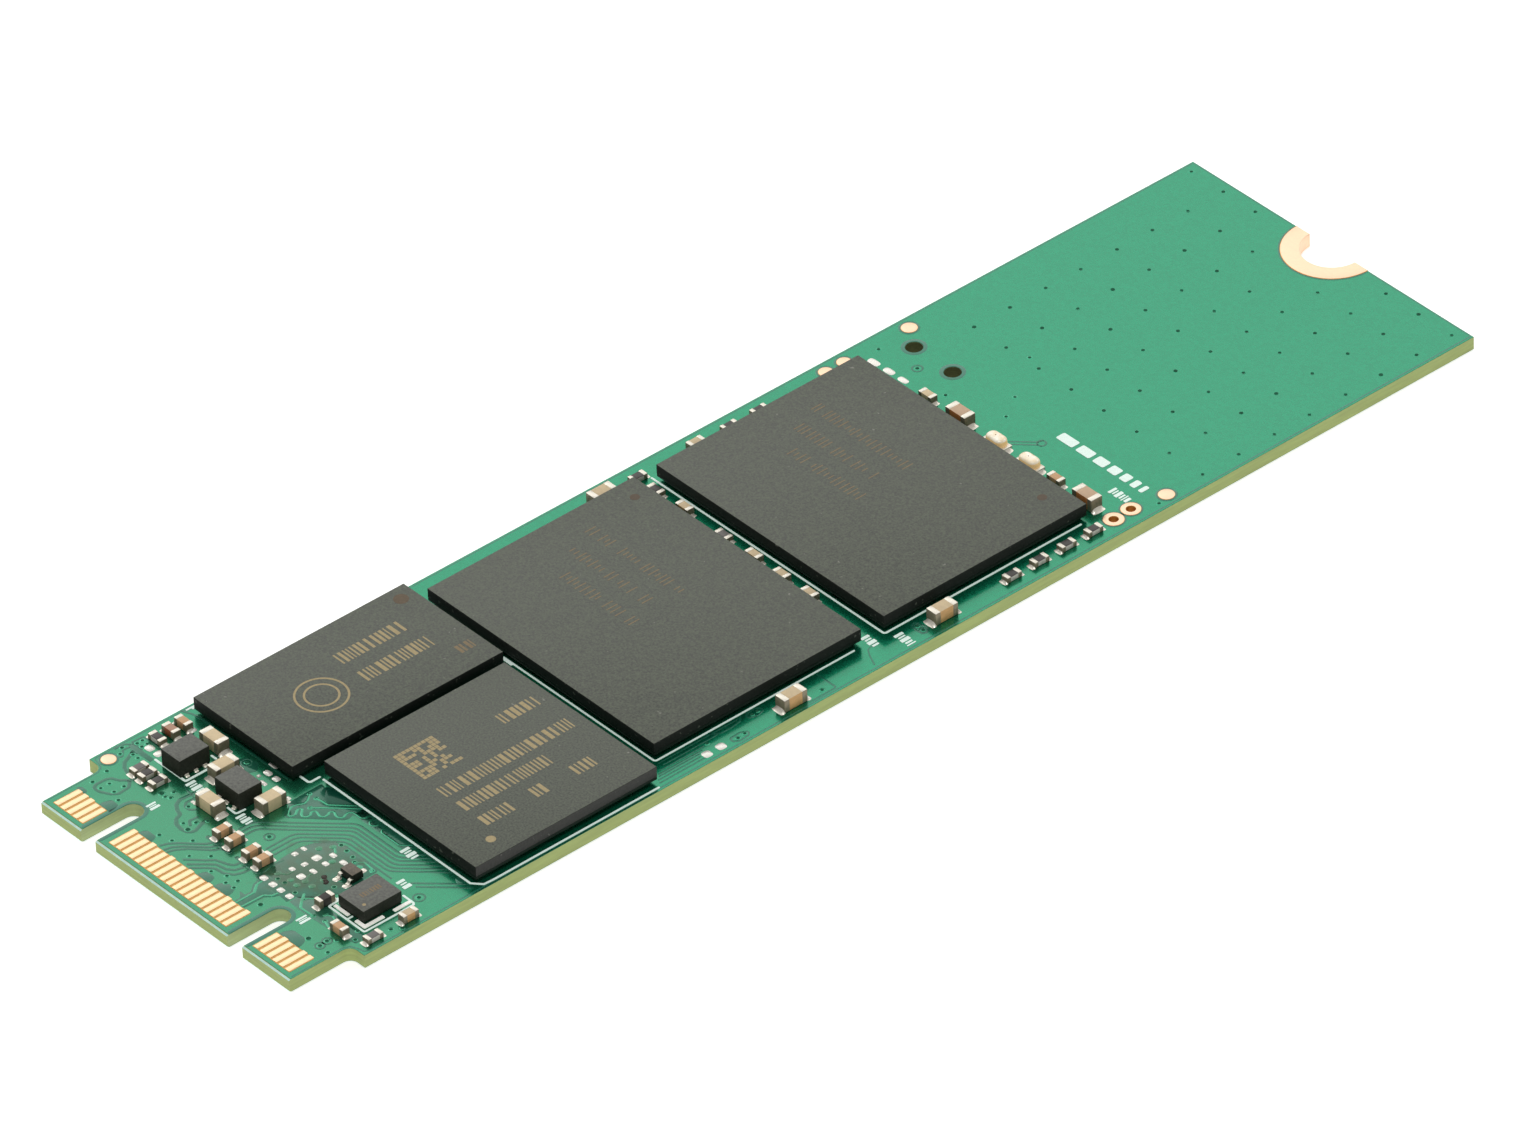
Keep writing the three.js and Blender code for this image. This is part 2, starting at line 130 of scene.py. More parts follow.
def pm(name, base, rough, metal=0.0, spec=0.5, var=0.06, scale=2500.0, detail=3.0, rvar=0.04,
       bump=0.0, bscale=7000.0, bdetail=2.0, coat=0.0, coat_rough=0.1, tint=None, base2=None,
       stretch=None, speck=None, emit=0.0, subsurface=0.0):
    m = bpy.data.materials.new(name)
    m.use_nodes = True
    nt = m.node_tree
    n = nt.nodes
    b = n["Principled BSDF"]
    b.inputs["Metallic"].default_value = metal
    b.inputs["Specular IOR Level"].default_value = spec
    b.inputs["Coat Weight"].default_value = coat
    b.inputs["Coat Roughness"].default_value = coat_rough
    if emit:
        b.inputs["Emission Color"].default_value = (*base, 1)
        b.inputs["Emission Strength"].default_value = emit
    if subsurface:
        b.inputs["Subsurface Weight"].default_value = subsurface
        b.inputs["Subsurface Radius"].default_value = (1.0, 0.8, 0.5)
        b.inputs["Subsurface Scale"].default_value = 0.0004
    co = n.new("ShaderNodeTexCoord")
    src = co.outputs["Object"]
    if stretch:
        mp = n.new("ShaderNodeMapping")
        mp.inputs["Scale"].default_value = stretch
        nt.links.new(src, mp.inputs["Vector"])
        src = mp.outputs["Vector"]
    no = n.new("ShaderNodeTexNoise")
    no.inputs["Scale"].default_value = scale
    no.inputs["Detail"].default_value = detail
    no.inputs["Roughness"].default_value = 0.6
    nt.links.new(src, no.inputs["Vector"])
    ramp = n.new("ShaderNodeValToRGB")
    ramp.color_ramp.elements[0].position = 0.32
    ramp.color_ramp.elements[1].position = 0.68
    lo = tuple(c * (1 - var) for c in base)
    hi = tuple(min(1.0, c * (1 + var)) for c in (base2 or base))
    ramp.color_ramp.elements[0].color = (*lo, 1)
    ramp.color_ramp.elements[1].color = (*hi, 1)
    nt.links.new(no.outputs["Fac"], ramp.inputs["Fac"])
    colour = ramp.outputs["Color"]
    if speck:  # sparse fine flecks: (scale, threshold, colour)
        s2 = n.new("ShaderNodeTexNoise")
        s2.inputs["Scale"].default_value = speck[0]
        s2.inputs["Detail"].default_value = 1.0
        nt.links.new(co.outputs["Object"], s2.inputs["Vector"])
        r2 = n.new("ShaderNodeMapRange")
        r2.inputs["From Min"].default_value = speck[1]
        r2.inputs["From Max"].default_value = speck[1] + 0.06
        nt.links.new(s2.outputs["Fac"], r2.inputs["Value"])
        mx = n.new("ShaderNodeMixRGB")
        mx.inputs["Color2"].default_value = (*speck[2], 1)
        nt.links.new(r2.outputs["Result"], mx.inputs["Fac"])
        nt.links.new(colour, mx.inputs["Color1"])
        colour = mx.outputs["Color"]
    for c, rad, k, tc, rag in tint or ():  # stains and painted sheen: (centre, radii, strength, colour, raggedness)
        mp2 = n.new("ShaderNodeMapping")
        cw = W((*c, 0))
        mp2.inputs["Location"].default_value = (
            -cw[0] / (rad[0] * MM), -cw[1] / (rad[1] * MM), 0)
        mp2.inputs["Scale"].default_value = (1 / (rad[0] * MM), 1 / (rad[1] * MM), 0)
        nt.links.new(co.outputs["Object"], mp2.inputs["Vector"])
        ln = n.new("ShaderNodeVectorMath")
        ln.operation = "LENGTH"
        nt.links.new(mp2.outputs["Vector"], ln.inputs[0])
        s3 = n.new("ShaderNodeTexNoise")
        s3.inputs["Scale"].default_value = 1700.0
        s3.inputs["Detail"].default_value = 5.0
        nt.links.new(co.outputs["Object"], s3.inputs["Vector"])
        ad = n.new("ShaderNodeMath")
        ad.operation = "MULTIPLY_ADD"
        nt.links.new(s3.outputs["Fac"], ad.inputs[0])
        ad.inputs[1].default_value = rag
        nt.links.new(ln.outputs["Value"], ad.inputs[2])
        r3 = n.new("ShaderNodeMapRange")
        r3.inputs["From Min"].default_value = 1.12 + rag / 2
        r3.inputs["From Max"].default_value = 0.40 + rag / 2
        r3.inputs["To Max"].default_value = k
        nt.links.new(ad.outputs["Value"], r3.inputs["Value"])
        mx = n.new("ShaderNodeMixRGB")
        mx.inputs["Color2"].default_value = (*tc, 1)
        nt.links.new(r3.outputs["Result"], mx.inputs["Fac"])
        nt.links.new(colour, mx.inputs["Color1"])
        colour = mx.outputs["Color"]
    nt.links.new(colour, b.inputs["Base Color"])
    mr = n.new("ShaderNodeMapRange")
    mr.inputs["From Min"].default_value = 0.3
    mr.inputs["From Max"].default_value = 0.7
    mr.inputs["To Min"].default_value = max(0.02, rough - rvar)
    mr.inputs["To Max"].default_value = min(1.0, rough + rvar)
    nt.links.new(no.outputs["Fac"], mr.inputs["Value"])
    nt.links.new(mr.outputs["Result"], b.inputs["Roughness"])
    if bump:
        nb = n.new("ShaderNodeTexNoise")
        nb.inputs["Scale"].default_value = bscale
        nb.inputs["Detail"].default_value = bdetail
        nt.links.new(src, nb.inputs["Vector"])
        bp = n.new("ShaderNodeBump")
        bp.inputs["Strength"].default_value = 1.0
        bp.inputs["Distance"].default_value = bump * MM
        nt.links.new(nb.outputs["Fac"], bp.inputs["Height"])
        nt.links.new(bp.outputs["Normal"], b.inputs["Normal"])
    MATS[name] = m
    return m


STAIN = ((3.9, 6.5), (2.1, 2.7), 0.80, (0.045, 0.105, 0.050), 2.0)
# PAINTED_SHEEN: a broad paler, greyer tint over the front of the top mask; it is painted sheen, standing for the glossy
# mask's reflection there
PAINTED_SHEEN = lambda tone: ((0.5, 3.0), (17.0, 12.0), 0.50, tone, 0.3)
POUR = (0.003, 0.256, 0.127)
GAP = (0.012, 0.165, 0.098)
mask_top = pm("mask_over_copper", POUR, 0.27, metal=0.78, coat=0.64, coat_rough=0.11, spec=0.1, var=0.09, scale=4200, detail=6, bump=0.0009, bscale=6000, tint=(PAINTED_SHEEN((0.060, 0.252, 0.128)), STAIN))
mask_under = pm("mask_underside", POUR, 0.27, metal=0.78, coat=0.64, coat_rough=0.11, spec=0.1, var=0.09, scale=4200, detail=6, bump=0.0009, bscale=6000)
mask_gap = pm("mask_over_laminate", GAP, 0.25, metal=0.35, coat=0.70, coat_rough=0.11, spec=0.1, var=0.10, scale=4200, bump=0.0009, bscale=6000, tint=(PAINTED_SHEEN((0.040, 0.160, 0.098)), STAIN))
mask_trace = pm("mask_over_trace", (0.012, 0.315, 0.165), 0.25, metal=0.78, coat=0.68, coat_rough=0.10, spec=0.1, var=0.07, scale=4200, tint=(PAINTED_SHEEN((0.060, 0.300, 0.160)), STAIN))
mask_ring = pm("mask_edge_tone", (0.010, 0.180, 0.112), 0.40, metal=0.3, coat=1.0, coat_rough=0.16, spec=0.1, var=0.06, scale=2600)
via_dark = pm("via_hole", (0.018, 0.115, 0.062), 0.6, spec=0.05, var=0.3, scale=6000)
laminate = pm("glass_epoxy_edge", lin(164, 178, 112), 0.62, spec=0.3, var=0.10, scale=500, detail=5,
              stretch=(1, 1, 14), bump=0.006, bscale=900)
# drilled hole wall: laminate darkened as painted shade, plus a faint emission as painted glow
hole_wall_painted_shade_glow = pm("drilled_wall_painted_shade_glow", lin(74, 78, 48), 0.7, spec=0.1, var=0.25, scale=2500, stretch=(1, 1, 6), bump=0.008, bscale=3000, emit=0.15)
laminate_in = pm("glass_epoxy_notch", lin(174, 188, 136), 0.6, spec=0.3, var=0.10, scale=500, detail=5,
                 stretch=(1, 1, 14), bump=0.006, bscale=900)
# painted highlight: the connector-edge bevel facets are pale cyan-white, standing for the bright line the light draws
# along that edge
bevel_painted_highlight = pm("lead_in_bevel_painted_highlight", lin(206, 242, 232), 0.35, spec=0.5, var=0.08, scale=1800)
gold = pm("gold_plating", lin(252, 222, 178), 0.38, metal=0.9, var=0.05, scale=3500, rvar=0.06, bump=0.002, bscale=6000)
gold_land = pm("gold_plated_land", lin(252, 214, 182), 0.38, metal=0.9, var=0.05, scale=3500, rvar=0.06, bump=0.002, bscale=6000)
# plated bore: darker gold than the land, with a faint emission that paints a glow into the bore
eyelet_wall_painted_glow = pm("eyelet_wall_painted_glow", lin(206, 168, 96), 0.42, metal=0.6, var=0.10, scale=3500, emit=0.06)
gold_side = pm("gold_edge", lin(214, 150, 70), 0.42, metal=0.7, var=0.10, scale=3500)
window_tan = pm("contact_window", lin(226, 168, 84), 0.5, spec=0.4, var=0.12, scale=4000)
tin = pm("tinned_terminal", lin(238, 232, 218), 0.40, metal=0.6, var=0.05, scale=5200, rvar=0.08, bump=0.004, bscale=6500)
pad_tin = pm("tinned_land", lin(250, 247, 238), 0.32, metal=0.35, var=0.06, scale=3500, rvar=0.1, bump=0.004, bscale=4500)
solder = pm("solder", lin(246, 240, 226), 0.32, metal=0.55, var=0.05, scale=4000, rvar=0.08, bump=0.003, bscale=5000)
# painted shade: terminal sides darker than the bright tinned tops of the same plating, as the light falls from above
tin_side_painted_shade = pm("terminal_side_painted_shade", lin(140, 130, 108), 0.48, metal=0.3, var=0.16, scale=3200, rvar=0.08, bump=0.006, bscale=5000)
cream = pm("ceramic_cream", lin(230, 208, 168), 0.55, spec=0.4, var=0.05, scale=4200, bump=0.002, bscale=9000)
brown = pm("ceramic_brown", lin(216, 172, 128), 0.55, spec=0.4, var=0.07, scale=4200, bump=0.002, bscale=9000)
tan = pm("ceramic_tan", lin(216, 194, 156), 0.55, spec=0.4, var=0.06, scale=4200, bump=0.002, bscale=9000)
greybrown = pm("ceramic_greybrown", lin(206, 174, 142), 0.5, spec=0.5, var=0.06, scale=4200, bump=0.002, bscale=9000)
rust = pm("ceramic_reddish", lin(192, 150, 126), 0.55, spec=0.4, var=0.07, scale=4200, bump=0.002, bscale=9000)
# painted shade: each ceramic body gets a darker, browner copy of its colour for its sides, while its top keeps the lit
# tone
PAINTED_SHADE_SIDES = {}
for key, tone in (("ceramic_cream", (136, 108, 72)), ("ceramic_tan", (200, 158, 104)), ("ceramic_brown", (206, 118, 56)),
                  ("ceramic_reddish", (160, 88, 56)), ("ceramic_greybrown", (208, 132, 74))):
    PAINTED_SHADE_SIDES[key] = pm(key + "_side", lin(*tone), 0.55, spec=0.35, var=0.08, scale=3600, stretch=(1, 1, 3), bump=0.002, bscale=9000)
resist = pm("resistor_glaze", lin(66, 62, 58), 0.42, spec=0.5, var=0.10, scale=4500, bump=0.002)
resist_grey = pm("resistor_grey", lin(112, 108, 104), 0.45, spec=0.5, var=0.10, scale=4500, bump=0.002)
alumina = pm("resistor_base", lin(205, 200, 190), 0.6, spec=0.4, var=0.05, scale=4500)
bead = pm("ferrite_body", lin(58, 54, 50), 0.55, spec=0.4, var=0.10, scale=4500, bump=0.003)
mould = pm("mould_top", lin(74, 80, 66), 0.50, spec=0.66, var=0.62, scale=8600, detail=3, rvar=0.10,
           bump=0.009, bscale=9500, speck=(3600, 0.77, lin(130, 130, 120)))
# painted shade: the package sides are much darker than the top of the same moulding compound; their duller sheen is
# their own finish
mould_side_painted_shade = pm("mould_side_painted_shade", lin(34, 37, 34), 0.62, spec=0.12, var=0.25, scale=7000, detail=3, bump=0.006,
                bscale=9000, speck=(3600, 0.69, lin(84, 88, 80)))
# painted light: a lighter grey laid only on the controller's right-hand face, where the light falls
mould_right_face_painted_light = pm("controller_right_face_painted_light", lin(62, 62, 60), 0.6, spec=0.18, var=0.18, scale=7000, detail=3,
                     bump=0.006, bscale=9000, speck=(4200, 0.72, lin(100, 100, 96)))
ic_top = pm("ic_top", lin(90, 92, 84), 0.5, spec=0.66, var=0.50, scale=6500, detail=4, rvar=0.1, bump=0.012, bscale=6000)
# painted shade: the sides of the small plastic packages are much darker than their tops of the same plastic
ic_side_painted_shade = pm("ic_side_painted_shade", lin(44, 47, 40), 0.6, spec=0.16, var=0.3, scale=8000, bump=0.004, bscale=9000)
substrate = pm("package_laminate", lin(20, 34, 26), 0.55, spec=0.15, var=0.2, scale=3000, stretch=(1, 1, 8))
etch = pm("etched_mark", lin(178, 160, 120), 0.6, spec=0.3, var=0.12, scale=8000)
ic_top_brown = pm("ic_top_brown", lin(104, 94, 80), 0.5, spec=0.5, var=0.35, scale=6500, detail=4, rvar=0.1, bump=0.010, bscale=6000)
etch_dot = pm("etched_dot_dark", lin(92, 78, 62), 0.58, spec=0.4, var=0.15, scale=8000)
etch_faint = pm("etched_mark_faint", lin(134, 116, 86), 0.58, spec=0.4, var=0.15, scale=8000)
etch_red = pm("etched_dot_brown", lin(104, 90, 72), 0.6, spec=0.3, var=0.15, scale=8000)
# white marking ink, with a small emission that paints light so it stays bright in the shade of the packages
ink_painted_glow = pm("marking_ink_painted_glow", lin(234, 255, 244), 0.55, spec=0.4, var=0.05, scale=5200, bump=0.003, bscale=9000, emit=0.14)
# painted glow: both lens tones carry an emission though the lamp is unlit; it stands in for light gathered in the clear
# resin
lens_rim_painted_glow = pm("led_lens_rim", lin(250, 208, 146), 0.3, emit=0.25, spec=0.5, var=0.12, scale=3000)
lens = pm("led_lens", lin(246, 224, 184), 0.22, spec=0.9, emit=0.20, var=0.10, scale=2600, base2=lin(255, 250, 234),
          subsurface=0.0, bump=0.002, bscale=3000)
# oscillator lands: bright tinned metal plus an emission that paints light on them where the body shades them
land_tone_painted_glow = pm("wetted_land_painted_glow", lin(252, 250, 242), 0.45, emit=0.22, var=0.06, scale=3500)
led_base = pm("led_base", lin(236, 226, 200), 0.5, spec=0.4, var=0.05, scale=4000)
led_die = pm("led_die", lin(150, 104, 60), 0.5, spec=0.4, var=0.15, scale=6000)
crumb = pm("flux_crumb", lin(52, 44, 34), 0.5, spec=0.4, var=0.3, scale=5000, bump=0.02, bscale=4000)
flux = pm("flux_residue", lin(150, 152, 118), 0.25, spec=0.5, var=0.15, scale=2500, bump=0.01, bscale=2500)


# ------------------------------------------------------------------ mesh building
class MB:
    """Collects closed solids into one mesh; faces carry a material."""

    def __init__(self):
        self.v, self.f, self.m, self.mats = [], [], [], []

    def slot(self, mat):
        if mat not in self.mats:
            self.mats.append(mat)
        return self.mats.index(mat)

    def add(self, verts, faces, mats):
        o = len(self.v)
        self.v.extend(verts)
        for k, f in enumerate(faces):
            self.f.append([o + i for i in f])
            self.m.append(self.slot(mats[k] if isinstance(mats, list) else mats))

    # ring-to-ring skin between equal length loops, with the two end caps
    def loft(self, rings, mats, cap_mats=None, holes_ok=False):
        n = len(rings[0])
        verts = [p for r in rings for p in r]
        faces, fm = [], []
        for k in range(len(rings) - 1):
            for i in range(n):
                j = (i + 1) % n
                faces.append((k * n + i, k * n + j, (k + 1) * n + j, (k + 1) * n + i))
                fm.append(mats[k] if isinstance(mats, list) else mats)
        cm = cap_mats or (fm[0], fm[-1])
        for which, ring, mt in ((0, rings[0], cm[0]), (len(rings) - 1, rings[-1], cm[1])):
            tris = tessellate_polygon([[Vector(p) for p in ring]])
            for t in tris:
                tri = [which * n + i for i in t]
                a, b, c = (Vector(verts[i]) for i in tri)
                nz = (b - a).cross(c - a).z
                up = which != 0
                if (nz > 0) != up:
                    tri.reverse()
                faces.append(tuple(tri))
                fm.append(mt)
        self.add(verts, faces, fm)

    def prism(self, poly, z0, z1, mat, inset=0.0, side=None):
        if area2(poly) < 0:
            poly = poly[::-1]
        low = [(x, y, z0) for x, y in poly]
        top = [(x, y, z1) for x, y in (offset(poly, -inset) if inset else poly)]
        self.loft([low, top], [side or mat], (side or mat, mat))

    def disc(self, cx, cy, profile, mats, n=24):
        """profile: (r, z) from the axis below to the axis above, going round the outside."""
        verts, faces, fm = [], [], []
        rings = []
        for r, z in profile:
            if r < 1e-9:
                rings.append([len(verts)])
                verts.append((cx, cy, z))
            else:
                rings.append(list(range(len(verts), len(verts) + n)))
                verts += [(cx + r * math.cos(2 * math.pi * i / n), cy + r * math.sin(2 * math.pi * i / n), z) for i in range(n)]
        for k in range(len(rings) - 1):
            a, b = rings[k], rings[k + 1]
            for i in range(n):
                j = (i + 1) % n
                if len(a) == 1 and len(b) == 1:
                    break
                if len(a) == 1:
                    faces.append((a[0], b[j], b[i]))
                elif len(b) == 1:
                    faces.append((a[i], a[j], b[0]))
                else:
                    faces.append((a[i], a[j], b[j], b[i]))
                fm.append(mats[k] if isinstance(mats, list) else mats)
        self.add(verts, faces, fm)

    def ring(self, cx, cy, profile, mats, n=28):
        """profile: a closed loop of (r, z), anticlockwise with r to the right and z up."""
        verts, faces, fm = [], [], []
        k = len(profile)
        for r, z in profile:
            verts += [(cx + r * math.cos(2 * math.pi * i / n), cy + r * math.sin(2 * math.pi * i / n), z) for i in range(n)]
        for a in range(k):
            b = (a + 1) % k
            for i in range(n):
                j = (i + 1) % n
                faces.append((a * n + i, a * n + j, b * n + j, b * n + i))
                fm.append(mats[a] if isinstance(mats, list) else mats)
        self.add(verts, faces, fm)

    def ribbon(self, pts, width, z0, z1, mat, slope=0.02, round_ends=True, closed=False):
        pts = [Vector((p[0], p[1])) for p in pts]
        clean = [pts[0]]
        for p in pts[1:]:
            if (p - clean[-1]).length > 1e-4:
                clean.append(p)
        pts = clean
        if closed and (pts[0] - pts[-1]).length < 1e-4:
            pts.pop()
        w = [width] * len(pts)
        if round_ends and not closed:
            d0 = (pts[0] - pts[1]).normalized()
            d1 = (pts[-1] - pts[-2]).normalized()
            for a in (0.5, 0.8, 0.97):
                s, c = a, math.sqrt(1 - a * a)
                pts.append(pts[-1] + d1 * 0) if False else None
            head = [(pts[0] + d0 * (width / 2) * a, width * math.sqrt(1 - a * a)) for a in (0.97, 0.8, 0.5)]
            tail = [(pts[-1] + d1 * (width / 2) * a, width * math.sqrt(1 - a * a)) for a in (0.5, 0.8, 0.97)]
            pts = [h[0] for h in head] + pts + [t[0] for t in tail]
            w = [h[1] for h in head] + w + [t[1] for t in tail]
        n = len(pts)
        left_b, left_t, right_t, right_b = [], [], [], []
        for i in range(n):
            if closed:
                a, b = pts[(i - 1) % n], pts[(i + 1) % n]
            else:
                a, b = pts[max(i - 1, 0)], pts[min(i + 1, n - 1)]
            d1 = (pts[i] - a) if (pts[i] - a).length > 1e-9 else (b - pts[i])
            d2 = (b - pts[i]) if (b - pts[i]).length > 1e-9 else (pts[i] - a)
            d1, d2 = d1.normalized(), d2.normalized()
            t = (d1 + d2)
            t = t.normalized() if t.length > 1e-6 else d1
            nrm = Vector((-t.y, t.x))
            k = 1 / max(0.5, abs(nrm.dot(Vector((-d1.y, d1.x)))))
            h = w[i] / 2 * k
            hb = (w[i] / 2 + slope) * k if w[i] > 0 else 0
            left_b.append((*(pts[i] + nrm * hb), z0))
            left_t.append((*(pts[i] + nrm * h), z1))
            right_t.append((*(pts[i] - nrm * h), z1))
            right_b.append((*(pts[i] - nrm * hb), z0))
        rows = [left_b, left_t, right_t, right_b]
        verts = [p for r in rows for p in r]
        faces = []
        m = n if closed else n - 1
        for i in range(m):
            j = (i + 1) % n
            for r in range(4):
                s = (r + 1) % 4
                faces.append((r * n + i, s * n + i, s * n + j, r * n + j))
        if not closed:
            faces.append((0, 3 * n, 2 * n, n))
            faces.append((n - 1, 2 * n - 1, 3 * n - 1, 4 * n - 1))
        self.add(verts, faces, mat)

    def rbox(self, lo, hi, r=0.03, seg=2, mat=None, top=None, faces_mat=None, turn=0.0, taper=0.0, centre=None):
        """A box with rounded edges. faces_mat: {'+z': mat, '+x': ...} by facing."""
        bm = bmesh.new()
        bmesh.ops.create_cube(bm, size=1.0)
        sx, sy, sz = (hi[i] - lo[i] for i in range(3))
        for v in bm.verts:
            v.co = Vector((v.co.x * sx, v.co.y * sy, v.co.z * sz))
        if r > 0:
            bmesh.ops.bevel(bm, geom=list(bm.edges), offset=min(r, sx * 0.45, sy * 0.45, sz * 0.45), segments=seg, profile=0.5, affect="EDGES")
        cx, cy, cz = ((hi[i] + lo[i]) / 2 for i in range(3))
        c, s = math.cos(turn), math.sin(turn)
        verts = []
        for v in bm.verts:
            x, y, z = v.co
            if taper:
                k = 1 - taper * (z / sz + 0.5)
                x, y = x * k, y * k
            verts.append((cx + x * c - y * s, cy + x * s + y * c, cz + z))
        faces, fm = [], []
        for f in bm.faces:
            faces.append([v.index for v in f.verts])
            mt = mat
            if top is not None and f.normal.z > 0.72:
                mt = top
            if faces_mat:
                for key, val in faces_mat.items():
                    ax = "xyz".index(key[1])
                    if f.normal[ax] * (1 if key[0] == "+" else -1) > 0.72:
                        mt = val
            fm.append(mt)
        bm.free()
        self.add(verts, faces, fm)

    def build(self, name, slot=None, smooth=38, replaces=()):
        me = bpy.data.meshes.new(name)
        me.from_pydata([W(p) for p in self.v], [], self.f)
        for mt in self.mats:
            me.materials.append(mt)
        me.polygons.foreach_set("material_index", self.m)
        me.validate()
        bm = bmesh.new()
        bm.from_mesh(me)
        bmesh.ops.recalc_face_normals(bm, faces=bm.faces)
        bm.to_mesh(me)
        bm.free()
        me.polygons.foreach_set("use_smooth", [True] * len(me.polygons))
        me.set_sharp_from_angle(angle=math.radians(smooth))
        me.update()
        o = bpy.data.objects.new(name, me)
        bpy.context.scene.collection.objects.link(o)
        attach(o, "root")
        if replaces:
            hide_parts(*replaces)
        return o


def area2(poly):
    return sum(a[0] * b[1] - b[0] * a[1] for a, b in zip(poly, poly[1:] + poly[:1])) / 2


def offset(poly, d):
    """Moves a loop outwards by d (anticlockwise loop)."""
    n = len(poly)
    out = []
    for i in range(n):
        p0, p1, p2 = Vector(poly[i - 1]), Vector(poly[i]), Vector(poly[(i + 1) % n])
        a, b = (p1 - p0).normalized(), (p2 - p1).normalized()
        n1, n2 = Vector((a.y, -a.x)), Vector((b.y, -b.x))
        m = n1 + n2
        m = m.normalized() if m.length > 1e-6 else n1
        k = d / max(0.5, m.dot(n1))
        out.append((p1.x + m.x * k, p1.y + m.y * k))
    return out


def fillet(pts, r, n=5, closed=False):
    """Rounds the corners of a path."""
    pts = [Vector((p[0], p[1])) for p in pts]
    out = []
    N = len(pts)
    for i in range(N):
        if not closed and i in (0, N - 1):
            out.append(tuple(pts[i]))
            continue
        a, b, c = pts[i - 1], pts[i], pts[(i + 1) % N]
        u, v = (a - b), (c - b)
        lu, lv = u.length, v.length
        u.normalize(); v.normalize()
        ang = math.acos(max(-1, min(1, u.dot(v))))
        if ang > math.pi - 0.02:
            out.append(tuple(b))
            continue
        t = min(r / math.tan(ang / 2), lu * 0.48, lv * 0.48)
        p, q = b + u * t, b + v * t
        for k in range(n + 1):
            s = k / n
            out.append(tuple(p * (1 - s) ** 2 + b * 2 * s * (1 - s) + q * s * s))
    return out


def arc(cx, cy, r, a0, a1, n):
    return [(cx + r * math.cos(math.radians(a0 + (a1 - a0) * i / n)), cy + r * math.sin(math.radians(a0 + (a1 - a0) * i / n))) for i in range(n + 1)]


# ------------------------------------------------------------------ board outline
TONGUE, SHOULDER, KEY_HALF, KEY_LEN = 9.925, 4.0, 0.6, 3.5
KEYS = (-6.125, 5.625)
SCREW_R = 1.8


def outline(rel=0.5, n_key=14, n_screw=30):
    o = [(-TONGUE, 0)]
    for kx in KEYS:
        o += [(kx - KEY_HALF, 0)] + arc(kx, KEY_LEN - KEY_HALF, KEY_HALF, 180, 0, n_key) + [(kx + KEY_HALF, 0)]
    o += [(TONGUE, 0)]
    o += arc(TONGUE + rel, SHOULDER - rel, rel, 180, 90, 7)
    o += [(HALF, SHOULDER), (HALF, LENGTH)]
    o += [(SCREW_R, LENGTH)] + arc(0, LENGTH, SCREW_R, 0, -180, n_screw)[1:]
    o += [(-HALF, LENGTH), (-HALF, SHOULDER)]
    o += arc(-TONGUE - rel, SHOULDER - rel, rel, 90, 0, 7)
    return o


OUT = outline()
BARE_HOLES = [(-8.67, 57.99, 0.48), (-5.60, 57.99, 0.48)]
PLATED = [(9.78, 56.74, 0.26), (9.83, 55.49, 0.26)]
HOLES = BARE_HOLES + PLATED


def skin_with_holes(mb, loops_low, loops_high, side_mats, low_mat, high_mat):
    """A slab between matching loops: outer first, then holes."""
    for k, (lo, hi) in enumerate(zip(loops_low, loops_high)):
        n = len(lo)
        verts = list(lo) + list(hi)
        faces = [(i, (i + 1) % n, n + (i + 1) % n, n + i) for i in range(n)]
        mb.add(verts, faces, side_mats[k])
    for loops, mt, up in ((loops_low, low_mat, False), (loops_high, high_mat, True)):
        if mt is None:
            continue
        flat = [p for l in loops for p in l]
        tris = tessellate_polygon([[Vector(p) for p in l] for l in loops])
        faces = []
        for t in tris:
            a, b, c = (Vector(flat[i]) for i in t)
            if ((b - a).cross(c - a).z > 0) != up:
                t = tuple(reversed(t))
            faces.append(t)
        mb.add(flat, faces, mt)


def hole_loop(h, z, n=28, grow=0.0):
    x, y, r = h
    return [(x + (r + grow) * math.cos(2 * math.pi * i / n), y + (r + grow) * math.sin(2 * math.pi * i / n), z) for i in range(n)]


THICK = TOPZ - BOTZ
SKIN = 0.018


def at(z, back=0.0, inset=0.0):
    pts = OUT if not inset else offset(OUT, -inset)
    return [(x, max(y, back), z) for x, y in pts]


# laminate core: bevelled connector edge, routed sides, drilled holes
core = MB()
inside = [p for p in OUT]
n = len(OUT)
levels = [(-THICK + SKIN, 0.093), (-THICK + 0.05, 0.045), (-THICK + 0.08, 0.0), (-0.08, 0.0), (-0.05, 0.045), (-SKIN, 0.093)]
for k in range(5):
    (za, ba), (zb, bb) = levels[k], levels[k + 1]
    lo, hi = at(za, ba), at(zb, bb)
    faces, fm = [], []
    for i in range(n):
        j = (i + 1) % n
        faces.append((i, j, n + j, n + i))
        x0, y0 = OUT[i]
        x1, y1 = OUT[j]
        notch = any(abs((x0 + x1) / 2 - kx) < KEY_HALF + 0.01 and (y0 + y1) > 0.01 for kx in KEYS)
        front = y0 == 0 and y1 == 0
        # the bevel facets take the painted highlight; the middle of the front face stays plain laminate
        fm.append(bevel_painted_highlight if front and k != 2 else laminate_in if notch else laminate)
    core.add(lo + hi, faces, fm)
for h in HOLES:
    wall = gold_side if h in PLATED else laminate_in
    nn = 28
    lo, hi = hole_loop(h, levels[0][0]), hole_loop(h, levels[-1][0])
    core.add(lo + hi, [(i, (i + 1) % nn, nn + (i + 1) % nn, nn + i) for i in range(nn)], wall)
